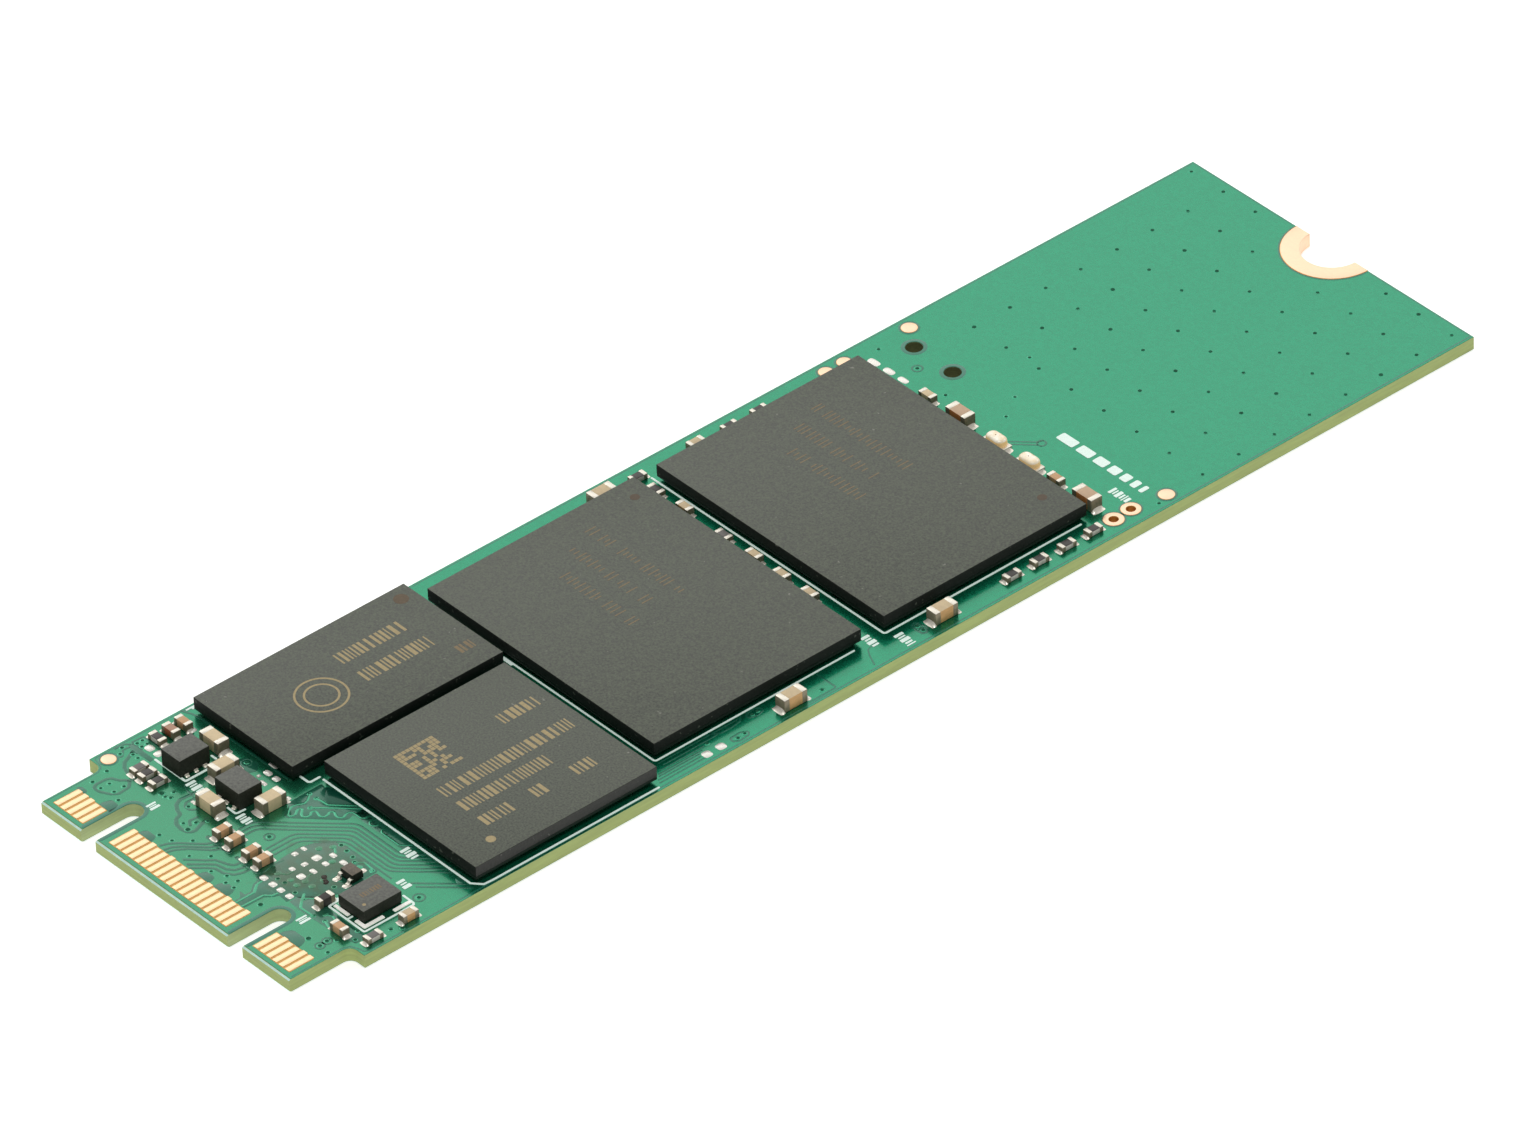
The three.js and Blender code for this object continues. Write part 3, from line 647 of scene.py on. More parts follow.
for z, up in ((levels[0][0], False), (levels[-1][0], True)):
    loops = [at(z, 0.093)] + [hole_loop(h, z) for h in HOLES]
    flat = [p for l in loops for p in l]
    faces = []
    for t in tessellate_polygon([[Vector(p) for p in l] for l in loops]):
        a, b, c = (Vector(flat[i]) for i in t)
        faces.append(t if ((b - a).cross(c - a).z > 0) == up else tuple(reversed(t)))
    core.add(flat, faces, laminate)
bm_core = core


def weld(o, d=1e-7):
    bm = bmesh.new()
    bm.from_mesh(o.data)
    bmesh.ops.remove_doubles(bm, verts=bm.verts, dist=d)
    bmesh.ops.recalc_face_normals(bm, faces=bm.faces)
    bm.to_mesh(o.data)
    bm.free()
    o.data.set_sharp_from_angle(angle=math.radians(38))
    return o


weld(core.build("board_laminate", "solder_mask", replaces=("circuit_board",)))

# solder mask, a thin skin on each side
for side, name in ((1, "solder_mask_top"), (-1, "solder_mask_underside")):
    mb = MB()
    if side > 0:
        z0, z1 = -SKIN, 0.0
    else:
        z0, z1 = -THICK + 0.004, -THICK + SKIN
    grow = 0.10
    lows = [at(z0, 0.125, 0.004)] + [hole_loop(h, z0, grow=0.0) for h in HOLES]
    highs = [at(z1, 0.135, 0.012)] + [hole_loop(h, z1, grow=0.02) for h in HOLES]
    tone = mask_top if side > 0 else mask_under
    skin_with_holes(mb, lows, highs, [mask_ring] + [mask_ring] * len(HOLES), tone, tone)
    weld(mb.build(name, "solder_mask"))

# ------------------------------------------------------------------ layout under the mask
Z_GAP, Z_TRACE = 0.003, 0.011
step = [0]


def dz():
    step[0] += 1
    return (step[0] % 400) * 3e-6


gaps, traces = MB(), MB()


def gap(pts, w=0.13, r=0.0, closed=False, tone=None):
    if r:
        pts = fillet(pts, r, closed=closed)
    d = dz()
    gaps.ribbon(pts, w, -0.001, Z_GAP + d, tone or mask_gap, slope=0.012, closed=closed)


def trace(pts, w=0.12, r=0.0):
    if r:
        pts = fillet(pts, r)
    traces.ribbon(pts, w, 0.0, Z_TRACE + dz(), mask_trace, slope=0.02)


def patch(poly, tone=None, r=0.0):
    if r:
        poly = fillet(poly, r, closed=True, n=4)
    gaps.prism(poly, -0.001, Z_GAP + dz(), tone or mask_gap, inset=0.01)


# the fan of parallel runs from the coupling capacitors to the controller
for c, yh, xr in ((8.01, 10.56, 4.60), (7.58, 10.28, 4.20), (7.19, 10.05, 3.82)):
    xv = {8.01: -1.24, 7.58: -0.96, 7.19: -0.65}[c]
    gap([(xv, 5.9), (xv, xv + c), (yh - c, yh), (yh - xr, yh), (11.75 - xr, 11.75)], 0.125, 0.9)
for c, yh, xr in ((6.74, 9.77, 3.38), (6.34, 9.48, 2.98), (5.92, 9.22, 2.62)):
    xv = {6.74: 0.95, 6.34: 1.26, 5.92: 1.59}[c]
    gap([(xv, 5.9), (xv, xv + c), (yh - c, yh), (yh - xr, yh), (11.75 - xr, 11.75)], 0.125, 0.9)
gap([(2.75, 8.2), (3.45, 8.95), (7.15, 8.95)], 0.11, 0.5)
gap([(8.15, 9.45), (10.35, 11.68)], 0.12)
gap([(8.55, 9.45), (10.55, 11.45)], 0.12)
patch([(9.35, 11.3), (9.8, 11.05), (10.0, 11.35), (9.75, 11.6), (9.4, 11.6)], r=0.1)
# serpentine field
# painted shadow: a near-black green mask tone, laid as patches at the foot of the controller's front side where its
# shadow falls
mask_painted_shadow = pm("mask_painted_shadow_pocket", (0.004, 0.085, 0.050), 0.25, metal=0.35, coat=0.35, coat_rough=0.10, spec=0.1, var=0.10, scale=4200)
patch([(-0.95, 11.3), (-0.55, 10.95), (-0.1, 10.55), (0.3, 10.5), (1.25, 11.5), (-0.6, 11.5)], tone=mask_painted_shadow, r=0.1)
patch([(1.86, 10.96), (5.6, 10.96), (6.0, 11.5), (1.86, 11.5)], tone=mask_painted_shadow)
patch([(-1.27, 11.35), (-0.75, 11.22), (-0.3, 10.75), (-0.05, 10.5), (0.3, 10.42), (1.3, 11.5), (2.55, 11.62),
       (2.5, 10.93), (1.8, 10.9), (1.95, 10.5), (1.85, 10.25), (0.27, 8.76), (-0.3, 8.24), (-0.62, 8.3),
       (-0.95, 8.9), (-1.22, 9.0)], r=0.12)
patch([(1.8, 10.88), (5.75, 10.88), (6.2, 11.55), (1.8, 11.55)])
trace([(-1.03, 10.35), (-0.72, 9.98), (-0.6, 9.65), (-0.77, 9.35), (-0.85, 9.05), (-0.72, 8.72), (-0.48, 8.45),
       (-0.24, 8.46), (-0.22, 8.75), (-0.42, 9.02), (-0.5, 9.2), (-0.3, 9.3), (-0.05, 9.0), (0.15, 8.9),
       (0.36, 9.02), (0.33, 9.28), (0.15, 9.5), (0.28, 9.7), (0.52, 9.64), (0.78, 9.56), (0.96, 9.72),
       (0.93, 9.95), (0.8, 10.15), (0.97, 10.34), (1.2, 10.22), (1.48, 10.16), (1.64, 10.36), (1.55, 10.6),
       (1.5, 10.82), (1.68, 11.0), (2.3, 11.0), (2.45, 11.16), (2.45, 11.55)], 0.11, 0.16)
trace([(-0.5, 10.37), (-0.1, 10.43), (0.32, 10.46), (1.25, 11.4), (1.42, 11.6)], 0.12, 0.2)
trace([(-0.12, 9.65), (0.02, 9.8), (0.3, 10.1), (1.4, 11.2), (1.75, 11.58)], 0.12, 0.2)
trace([(2.8, 11.55), (2.83, 11.15), (3.0, 10.99), (3.16, 10.99), (3.32, 11.15), (3.33, 11.55)], 0.1, 0.15)
trace([(3.73, 11.55), (3.78, 11.15), (3.95, 10.99), (5.32, 10.99), (5.55, 11.2), (5.75, 11.5)], 0.1, 0.15)
# pairs between the contacts and the coupling capacitors
for pts in (
    [(-2.95, 2.15), (-2.8, 2.55), (-2.47, 2.95), (-1.5, 3.88), (-1.34, 4.15), (-1.34, 4.5)],
    [(-2.55, 2.1), (-2.45, 2.5), (-2.1, 2.97), (-1.13, 3.88), (-1.0, 4.15), (-1.0, 4.5)],
    [(-2.3, 2.1), (-2.15, 2.5), (-1.76, 3.02), (-0.78, 3.9), (-0.68, 4.15), (-0.68, 4.5)],
    [(-1.25, 2.3), (-0.45, 3.05), (-0.1, 3.45), (0.6, 3.68), (0.88, 3.86), (0.93, 4.3)],
    [(-0.8, 2.2), (-0.13, 2.92), (0.2, 3.24), (0.83, 3.36), (1.2, 3.63), (1.31, 4.0), (1.32, 4.3)],
    [(-0.5, 2.1), (0.13, 2.77), (0.45, 3.0), (1.0, 3.05), (1.48, 3.38), (1.66, 3.85), (1.68, 4.3)],
):
    gap(pts, 0.16, 0.3)
patch([(2.3, 4.55), (5.0, 4.55), (5.0, 3.9), (4.35, 3.95), (4.25, 3.7), (3.92, 3.3), (3.9, 2.05), (3.1, 2.05),
       (3.12, 2.4), (2.65, 2.75), (3.1, 2.75), (3.1, 3.1), (2.7, 3.6), (2.6, 4.0), (2.35, 4.0)], r=0.06)
trace([(2.8, 4.05), (2.87, 3.7), (3.27, 3.2), (3.28, 2.0)], 0.13, 0.15)
trace([(4.13, 4.0), (4.1, 3.7), (3.77, 3.4), (3.73, 2.0)], 0.13, 0.15)
# clearances behind the contacts
for x0, x1, h in ((-4.55, -3.5, 0.48), (0.15, 1.12, 0.55), (1.45, 2.6, 0.7), (6.7, 8.25, 0.72), (-7.75, -6.85, 0.72), (-9.6, -8.9, 0.3)):
    cx, rx = (x0 + x1) / 2, (x1 - x0) / 2
    patch([(cx - rx, 2.0)] + [(cx + rx * math.cos(math.pi - a), 2.0 + h * min(1.0, 1.25 * math.sin(a))) for a in [math.pi * k / 12 for k in range(1, 12)]] + [(cx + rx, 2.0)])
# clearance round the two keys and along the routed edge
for kx in KEYS:
    gap([(kx - KEY_HALF - 0.13, 0.28)] + arc(kx, KEY_LEN - KEY_HALF, KEY_HALF + 0.13, 180, 0, 16) + [(kx + KEY_HALF + 0.13, 0.28)], 0.22, tone=mask_ring)
gap([(9.80, 0.3), (9.80, 3.55), (9.98, 3.98), (10.4, 4.14), (10.78, 4.2), (10.84, 4.5), (10.84, 79.9)], 0.07, 0.3, tone=mask_ring)
gap([(-9.82, 0.3), (-9.82, 3.6), (-10.05, 4.02), (-10.45, 4.12), (-10.86, 4.2), (-10.9, 79.85)], 0.06, 0.2, tone=mask_ring)
gap([(-10.88, 79.92), (-3.0, 79.92)], 0.05, tone=mask_ring)
gap([(10.8, 79.92), (3.0, 79.92)], 0.05, tone=mask_ring)
# unfitted flash footprint field, with its stain
patch([(2.05, 6.0), (2.0, 7.2), (2.25, 8.0), (2.85, 8.75), (3.3, 8.92), (6.25, 8.92), (6.3, 6.2), (5.9, 5.2),
       (5.1, 4.5), (2.4, 4.5), (2.35, 5.2)], r=0.25)
patch([(5.05, 4.0), (5.05, 4.55), (5.6, 5.2), (6.6, 5.1), (9.95, 5.05), (10.0, 4.3), (9.3, 4.1), (6.2, 3.95)], r=0.12)
for (x, y) in ((3.15, 8.45), (4.05, 7.65), (4.9, 6.4), (4.35, 5.65), (4.9, 5.65), (2.9, 5.05), (3.75, 5.2), (4.3, 5.15), (2.75, 7.85), (5.35, 8.35)):
    traces.disc(x, y, [(0, 0), (0.2, 0), (0.17, Z_TRACE), (0, Z_TRACE)], mask_trace, 18)
FOOT_VIAS = [(3.15, 8.45), (4.05, 7.65), (4.9, 6.4), (4.35, 5.65), (4.9, 5.65), (2.9, 5.05), (4.3, 5.15), (2.75, 7.85), (5.35, 8.35), (5.6, 7.9), (5.75, 7.4), (5.5, 7.0)]
trace([(5.1, 4.95), (5.5, 4.45), (5.85, 4.12), (6.8, 4.15)], 0.12, 0.15)
trace([(5.4, 4.75), (5.75, 5.1), (5.72, 5.5)], 0.11, 0.1)
trace([(2.9, 5.05), (3.3, 5.35), (3.3, 5.7)], 0.1, 0.1)
trace([(4.35, 5.65), (4.1, 6.1), (4.1, 6.4)], 0.1, 0.1)
trace([(4.9, 8.45), (5.2, 8.8), (5.9, 8.75), (6.1, 8.5)], 0.1, 0.12)
trace([(3.3, 8.45), (3.6, 8.25), (3.7, 8.05)], 0.1, 0.1)
trace([(7.14, 4.67), (7.5, 4.85), (7.9, 4.75)], 0.1, 0.1)
trace([(7.53, 4.32), (8.2, 4.1), (9.0, 4.15)], 0.1, 0.1)
# power area
gap([(-8.1, 4.32), (-7.78, 4.0), (-7.72, 3.3), (-8.0, 2.95), (-8.55, 2.68), (-8.98, 2.66), (-9.12, 2.95), (-9.1, 3.55), (-8.98, 3.82), (-8.55, 4.02), (-8.3, 4.3)], 0.18, 0.25, closed=True)
gap([(-8.2, 4.35), (-8.1, 4.7), (-7.6, 4.75)], 0.2, 0.15)
gap([(-9.95, 6.0), (-9.75, 5.6), (-9.55, 5.15), (-9.2, 4.85), (-8.7, 4.68), (-8.1, 4.62)], 0.2, 0.3)
patch([(-10.5, 6.42), (-8.7, 6.42), (-8.65, 6.1), (-9.6, 6.08), (-9.9, 5.75), (-10.15, 6.05), (-10.45, 6.1)], r=0.08)
gap([(-10.5, 6.3), (-10.72, 6.1), (-10.76, 5.5)], 0.12, 0.15)
gap([(-10.35, 6.1), (-10.42, 5.75), (-10.0, 5.35), (-10.05, 5.25)], 0.12, 0.15)
gap([(-5.12, 6.2), (-5.2, 5.25), (-5.0, 4.85), (-4.6, 4.6), (-4.22, 4.5), (-4.12, 4.15), (-3.78, 3.85), (-3.3, 3.76), (-2.82, 3.86), (-2.66, 4.2), (-2.88, 4.75), (-3.05, 5.3)], 0.21, 0.3)
gap([(-4.75, 6.0), (-4.8, 5.35), (-4.6, 5.08), (-4.2, 5.08), (-4.02, 5.3), (-4.0, 5.6)], 0.15, 0.2)
gap([(-3.46, 5.0), (-3.52, 4.5), (-3.2, 4.3)], 0.16, 0.15)
gap([(-9.0, 7.2), (-10.55, 7.2), (-10.6, 6.45), (-9.75, 6.45)], 0.1, 0.1)
gap([(-10.9, 9.95), (-10.3, 10.2), (-9.6, 10.3), (-2.6, 10.35)], 0.14, 0.2)
gap([(-9.0, 9.75), (-6.6, 8.85), (-6.3, 8.1)], 0.14, 0.3)
gap([(-6.0, 6.2), (-5.5, 6.0), (-4.9, 5.9)], 0.1, 0.1)
patch([(-5.95, 8.95), (-5.6, 9.9), (-4.8, 10.1), (-4.3, 9.6), (-4.6, 8.9)], r=0.2)
gap([(-0.35, 5.6), (-0.15, 5.4), (-0.12, 4.4), (-0.6, 4.2)], 0.14, 0.15)
for x in (-1.47, -0.48, 0.86, 1.79):
    gap([(x - 0.36, 4.35), (x + 0.36, 4.35)], 0.26)
gap([(2.25, 5.9), (2.15, 5.2), (2.3, 4.6)], 0.14, 0.15)
# right-hand strip beside the first flash package
for x, y0, y1 in ((9.22, 24.9, 30.2), (9.48, 25.0, 28.6), (9.72, 24.6, 27.5), (9.95, 24.3, 27.2), (10.1, 24.2, 26.9), (10.3, 24.0, 26.8), (10.52, 23.9, 26.9)):
    gap([(x, y0), (x, y1)], 0.08)
gap([(9.05, 30.55), (9.42, 30.2), (9.52, 29.6), (9.52, 28.9), (9.3, 28.5), (9.1, 28.2)], 0.09, 0.15)
gap([(9.18, 30.9), (9.12, 31.4), (9.3, 31.7), (9.58, 31.6), (9.68, 31.2), (9.58, 30.75), (9.35, 30.65)], 0.1, 0.15, closed=True)
gap([(10.18, 28.9), (10.16, 29.6), (10.35, 29.95), (10.62, 29.75), (10.66, 29.1), (10.45, 28.8)], 0.1, 0.12, closed=True)
gap([(9.2, 35.62), (10.62, 35.64), (10.68, 35.5), (10.68, 33.6)], 0.09, 0.1)
gap([(9.5, 42.3), (9.3, 42.1), (9.45, 41.8), (9.9, 41.78), (10.35, 41.8), (10.42, 42.1), (10.2, 42.35)], 0.1, 0.15, closed=True)
gap([(9.25, 39.55), (9.4, 38.9), (9.9, 38.6), (10.6, 38.3)], 0.07, 0.2)
# lamp feed
gap([(1.02, 56.05), (2.1, 57.12), (2.2, 57.4)], 0.10, 0.1)
gap([(1.24, 55.93), (2.3, 56.96), (2.5, 57.0)], 0.10, 0.1)
gap([(2.12 + 0.24 * math.cos(a) + 0.2, 57.2 + 0.24 * math.sin(a)) for a in [2 * math.pi * k / 18 for k in range(18)]], 0.10, closed=True)
gaps.build("mask_clearances_top", "solder_mask")
traces.build("mask_traces_top", "solder_mask")

# ------------------------------------------------------------------ vias
SMALL = [(-10.33, 6.95), (-9.94, 6.95), (-10.33, 6.6), (-9.94, 6.6), (-9.74, 5.86), (-9.34, 5.86), (-10.58, 5.81), (-10.23, 5.41), (-9.59, 4.02), (-8.01, 3.87), (-8.7, 3.47), (-8.01, 3.22), (-8.7, 2.91), (-9.39, 2.93), (-7.31, 2.95), (-5.63, 5.0), (-5.88, 5.4), (-5.88, 4.85), (-4.45, 5.2), (-3.16, 4.65), (-3.56, 4.15), (-2.86, 5.19), (-2.12, 3.6), (-3.65, 2.66), (-2.86, 2.84), (-1.28, 2.68), (-0.5, 3.47), (-2.57, 10.36), (3.33, 8.85), (3.87, 8.75), (4.47, 8.65), (4.86, 8.45), (6.0, 8.65), (10.61, 6.8), (10.31, 6.31), (4.71, 4.69), (3.72, 4.83), (3.23, 4.78), (5.4, 4.67), (7.14, 4.67), (7.53, 4.32), (6.79, 4.17), (9.27, 5.01), (9.72, 4.47), (9.12, 3.77), (9.56, 2.83), (5.7, 6.41), (1.29, 3.05), (1.99, 3.19), (0.45, 2.7), (1.69, 2.65), (2.28, 2.7), (9.39, 31.4), (9.44, 31.0), (10.38, 29.7), (10.43, 29.2), (10.36, 34.95), (-1.68, 58.89), (10.42, 58.13), (-9.81, 56.49), (-3.76, 61.78), (-10.34, 79.29), (-1.03, 10.35), (-0.5, 10.37), (-0.12, 9.65), (9.7, 27.75), (-0.7, 57.4), (-4.3, 56.35)]
DARK = [(-6.23, 4.9), (-3.01, 4.0), (8.03, 2.83), (4.26, 2.81)]
RINGED = [(-5.24, 9.67, 0.34), (9.3, 8.98, 0.36), (0.3, 6.62, 0.32), (8.82, 3.38, 0.3), (8.87, 2.88, 0.3), (9.68, 42.05, 0.24), (10.13, 42.05, 0.24), (-7.12, 56.85, 0.33)]
GRID = [(-7.83, 61.48), (-5.28, 61.48), (-2.7, 61.48), (-0.14, 61.48), (2.42, 61.48), (4.99, 61.48), (7.54, 61.47), (10.12, 61.47), (-7.83, 64.02), (-5.28, 64.02), (-2.7, 64.02), (-0.14, 64.02), (2.42, 64.02), (4.99, 64.02), (7.54, 64.02), (10.12, 64.01), (-7.83, 66.56), (-5.28, 66.56), (-2.7, 66.56), (-0.14, 66.56), (2.41, 66.56), (4.99, 66.56), (7.54, 66.55), (10.11, 66.55), (-7.82, 69.05), (-5.28, 69.05), (-2.7, 69.05), (-0.14, 69.05), (2.41, 69.05), (4.99, 69.04), (7.54, 69.04), (10.11, 69.04), (-7.82, 71.64), (-5.27, 71.64), (-2.7, 71.64), (-0.14, 71.64), (2.41, 71.63), (4.99, 71.63), (7.53, 71.62), (10.11, 71.62), (-7.82, 74.18), (-5.27, 74.18), (-2.7, 74.17), (-0.14, 74.17), (2.41, 74.17), (4.99, 74.16), (7.53, 74.16), (10.1, 74.15), (-7.82, 76.74), (-5.27, 76.74), (-2.7, 76.73), (2.41, 76.73), (4.99, 76.72), (7.53, 76.71), (10.1, 76.71), (-7.81, 79.29), (-5.27, 79.29), (4.98, 79.27), (7.52, 79.26), (10.09, 79.25)]


def via(mb, x, y, r=0.16, hole=0.085, top=0.012, side=1, dark=None):
    """A tented via: a low collar of mask round a dimple."""
    z = (lambda h: h) if side > 0 else (lambda h: -THICK + 0.004 - h)
    prof = [(0, z(-0.001)), (r, z(-0.001)), (r - 0.04, z(top * 0.7)), (hole + 0.03, z(top)), (hole, z(top * 0.6)), (hole * 0.5, z(0.004)), (0, z(0.003))]
    mats = [mask_ring, mask_trace, mask_trace, via_dark, via_dark, via_dark]
    mb.disc(x, y, prof, mats, 18)


vias = MB()
for x, y in SMALL:
    via(vias, x + rng.uniform(-0.01, 0.01), y, 0.17, rng.uniform(0.055, 0.075))
for x, y in DARK:
    via(vias, x, y, 0.2, 0.105)
for x, y in FOOT_VIAS:
    via(vias, x, y, 0.15, 0.05)
for x, y in GRID:
    via(vias, x, y, 0.14, rng.uniform(0.075, 0.1), 0.009)
for x, y, r in RINGED:
    vias.ring(x, y, [(r - 0.1, -0.001), (r + 0.01, -0.001), (r, 0.0045), (r - 0.09, 0.0045)], mask_gap, 26)
    via(vias, x, y, 0.18, 0.08)
vias.build("vias_top", "solder_mask")

# ------------------------------------------------------------------ gold features
def pad_gold(mb, x, y, r, dark=True):
    if dark:
        mb.ring(x, y, [(r, -0.001), (r + 0.13, -0.001), (r + 0.12, 0.0045), (r, 0.0045)], mask_ring, 32)
    mb.disc(x, y, [(0, -0.002), (r, -0.002), (r, 0.014), (r - 0.02, 0.02), (0, 0.02)], [gold_side, gold_side, gold_side, gold_land], 32)


pads = MB()
pad_gold(pads, -10.30, 4.70, 0.42)
for x, y in ((-10.21, 54.42), (-10.21, 53.14)):
    pad_gold(pads, x, y, 0.42)
for x, y in ((-10.14, 58.94), (10.12, 58.93)):
    pad_gold(pads, x, y, 0.46)
pads.build("gold_test_pads", "gold")

eyelets = MB()
for (x, y, r), R2 in zip(PLATED, (0.56, 0.58)):
    z0, z1 = -THICK + 0.006, 0.022
    prof = [(r, z0), (R2, z0), (R2, -THICK + SKIN), (r + 0.03, -THICK + SKIN), (r + 0.03, -SKIN), (R2, -0.002), (R2, z1 - 0.006), (R2 - 0.02, z1), (r + 0.02, z1), (r, z1 - 0.02)]
    m = [gold_land, gold_side, gold_side, gold_side, gold_side, gold_side, gold_side, gold_land, eyelet_wall_painted_glow, eyelet_wall_painted_glow]
    eyelets.ring(x, y, prof, m, 36)
    eyelets.ring(x, y, [(R2, -0.001), (R2 + 0.1, -0.001), (R2 + 0.09, 0.004), (R2, 0.004)], mask_ring, 36)
eyelets.build("plated_eyelets", "gold")

drill = MB()
for x, y, r in BARE_HOLES:
    drill.ring(x, y, [(r + 0.015, -0.001), (r + 0.24, -0.001), (r + 0.22, 0.005), (r + 0.02, 0.004)], mask_ring, 36)
    # drilled wall: laminate darkened as painted shade inside the bore, with a faint emission painting a glow
    drill.ring(x, y, [(r - 0.012, -THICK + 0.03), (r + 0.004, -THICK + 0.03), (r + 0.004, -0.03), (r - 0.012, -0.03)], hole_wall_painted_shade_glow, 36)
drill.build("bare_hole_collars", "solder_mask")

# contacts
PIN = lambda k: 9.25 - (k - 1) / 4
BANKS = {
    "contact_bank_m_top": (67, 75), "contact_bank_centre_top": (21, 57), "contact_bank_b_top": (1, 11),
    "contact_bank_m_bottom": (68, 74), "contact_bank_centre_bottom": (20, 58), "contact_bank_b_bottom": (2, 10),
}
LONG_PINS = {1, 3, 9, 21, 27, 33, 39, 45, 51, 57, 71, 73, 75}


def rounded_rect(x0, x1, y0, y1, r, n=3):
    return (arc(x1 - r, y1 - r, r, 0, 90, n) + arc(x0 + r, y1 - r, r, 90, 180, n)
            + arc(x0 + r, y0 + r, r, 180, 270, n) + arc(x1 - r, y0 + r, r, 270, 360, n))


for node, (a, b) in BANKS.items():
    lo, hi = local_box(node)
    up = node.endswith("_top")
    mb = MB()
    zb, zt = (-0.004, 0.018) if up else (-THICK + 0.022, -THICK + 0.0005)
    # the window in the mask between the fingers
    x0, x1 = lo[0] - 0.02, hi[0] + 0.02
    w0, w1 = (-0.003, 0.0035) if up else (-THICK + 0.012, -THICK + 0.0025)
    mb.prism(rounded_rect(x0, x1, lo[1] - 0.02, hi[1] + 0.0, 0.04), min(w0, w1), max(w0, w1), window_tan)
    for k in range(a, b + 1, 2):
        x = PIN(k)
        y1 = hi[1] + (0.06 if k in LONG_PINS else -0.03)
        poly = rounded_rect(x - 0.19, x + 0.19, lo[1], y1, 0.05)
        inner = offset(poly, -0.018)
        za, zc = min(zb, zt), max(zb, zt)
        if up:
            rings = [[(p[0], p[1], zb) for p in poly], [(p[0], p[1], zt - 0.008) for p in poly], [(p[0], p[1], zt) for p in inner]]
            mb.loft(rings, [gold_side, gold_side], (gold_side, gold))
        else:
            rings = [[(p[0], p[1], zt) for p in inner], [(p[0], p[1], zt + 0.008) for p in poly], [(p[0], p[1], zb) for p in poly]]
            mb.loft(rings, [gold_side, gold_side], (gold, gold_side))
    mb.build(node.replace("contact_bank", "gold_fingers"), "gold", replaces=(node,))

# plated half hole
lo, hi = local_box("screw_hole_plating")
RO, RI = hi[0] - 0.0, 1.75
mb = MB()
prof = [(RI + 0.02, 0.022), (RI, -0.01), (RI, -THICK + 0.02), (RI + 0.02, -THICK + 0.0), (RO - 0.03, -THICK + 0.0), (RO, -THICK + 0.012), (RO, -THICK + SKIN + 0.002), (RI + 0.048, -THICK + SKIN + 0.002), (RI + 0.048, -SKIN - 0.002), (RO, -SKIN - 0.002), (RO, 0.012), (RO - 0.03, 0.022)]
pm_mats = [gold_land, gold_land, gold_side, gold_land, gold_side, gold_side, gold_side, gold_side, gold_side, gold_side, gold_side, gold_land]
NA = 56
verts, faces, fm = [], [], []
for k in range(NA + 1):
    a = math.radians(180 + 180 * k / NA)
    for r, z in prof:
        verts.append((r * math.cos(a), LENGTH + r * math.sin(a), z))
K = len(prof)
for k in range(NA):
    for i in range(K):
        j = (i + 1) % K
        faces.append((k * K + i, k * K + j, (k + 1) * K + j, (k + 1) * K + i))
        fm.append(pm_mats[i])
for base in (0, NA * K):
    loop = [Vector((prof[i][0], prof[i][1], 0)) for i in range(K)]
    for t in tessellate_polygon([loop]):
        faces.append(tuple(base + i for i in t))
        fm.append(gold_side)
mb.add(verts, faces, fm)
mb.build("screw_land_plating", "gold", replaces=("screw_hole_plating",))
mb = MB()
mb.ribbon(arc(0, LENGTH, RO + 0.05, 181.5, 358.5, 40), 0.09, -0.001, 0.005, mask_ring, slope=0.01, round_ends=False)
mb.build("screw_land_clearance", "solder_mask")

# ------------------------------------------------------------------ marking ink
silk = MB()


def line(pts, w=0.13, r=0.08):
    silk.ribbon(fillet(pts, r) if r else pts, w, 0.004, 0.021 + dz(), ink_painted_glow, slope=0.008)


line([(-1.45, 11.62), (10.2, 11.6), (10.72, 12.05), (10.76, 12.6), (10.77, 23.6)], 0.12)
line([(-2.45, 10.92), (-1.85, 10.92), (-1.75, 11.02), (-1.75, 11.6)], 0.13)
line([(-10.75, 10.2), (-10.75, 10.75)], 0.12)
line([(-8.62, 6.42), (-6.2, 6.42), (-6.18, 6.5), (-6.18, 8.0)], 0.14)
line([(-6.9, 8.72), (-6.55, 8.72)], 0.13)
line([(-3.0, 6.6), (-2.38, 6.58), (-2.32, 6.7), (-2.3, 7.15)], 0.12)
line([(6.55, 5.95), (6.7, 5.8), (6.74, 5.22), (9.52, 5.2), (9.56, 5.3), (9.57, 8.4), (9.45, 8.5), (8.65, 8.5)], 0.12)
line([(8.18, 5.22), (8.18, 5.55)], 0.11)
line([(-2.95, 24.86), (8.9, 24.86), (9.0, 24.95), (9.0, 38.3)], 0.11)
line([(-9.42, 40.4), (8.9, 40.4), (8.99, 40.5), (8.99, 53.95)], 0.12)
line([(-9.42, 25.3), (-9.42, 38.2)], 0.11)
line([(-9.42, 40.9), (-9.42, 53.8)], 0.11)
line([(-10.62, 10.5), (-10.62, 24.6), (-10.3, 24.75), (-2.2, 24.75)], 0.11)


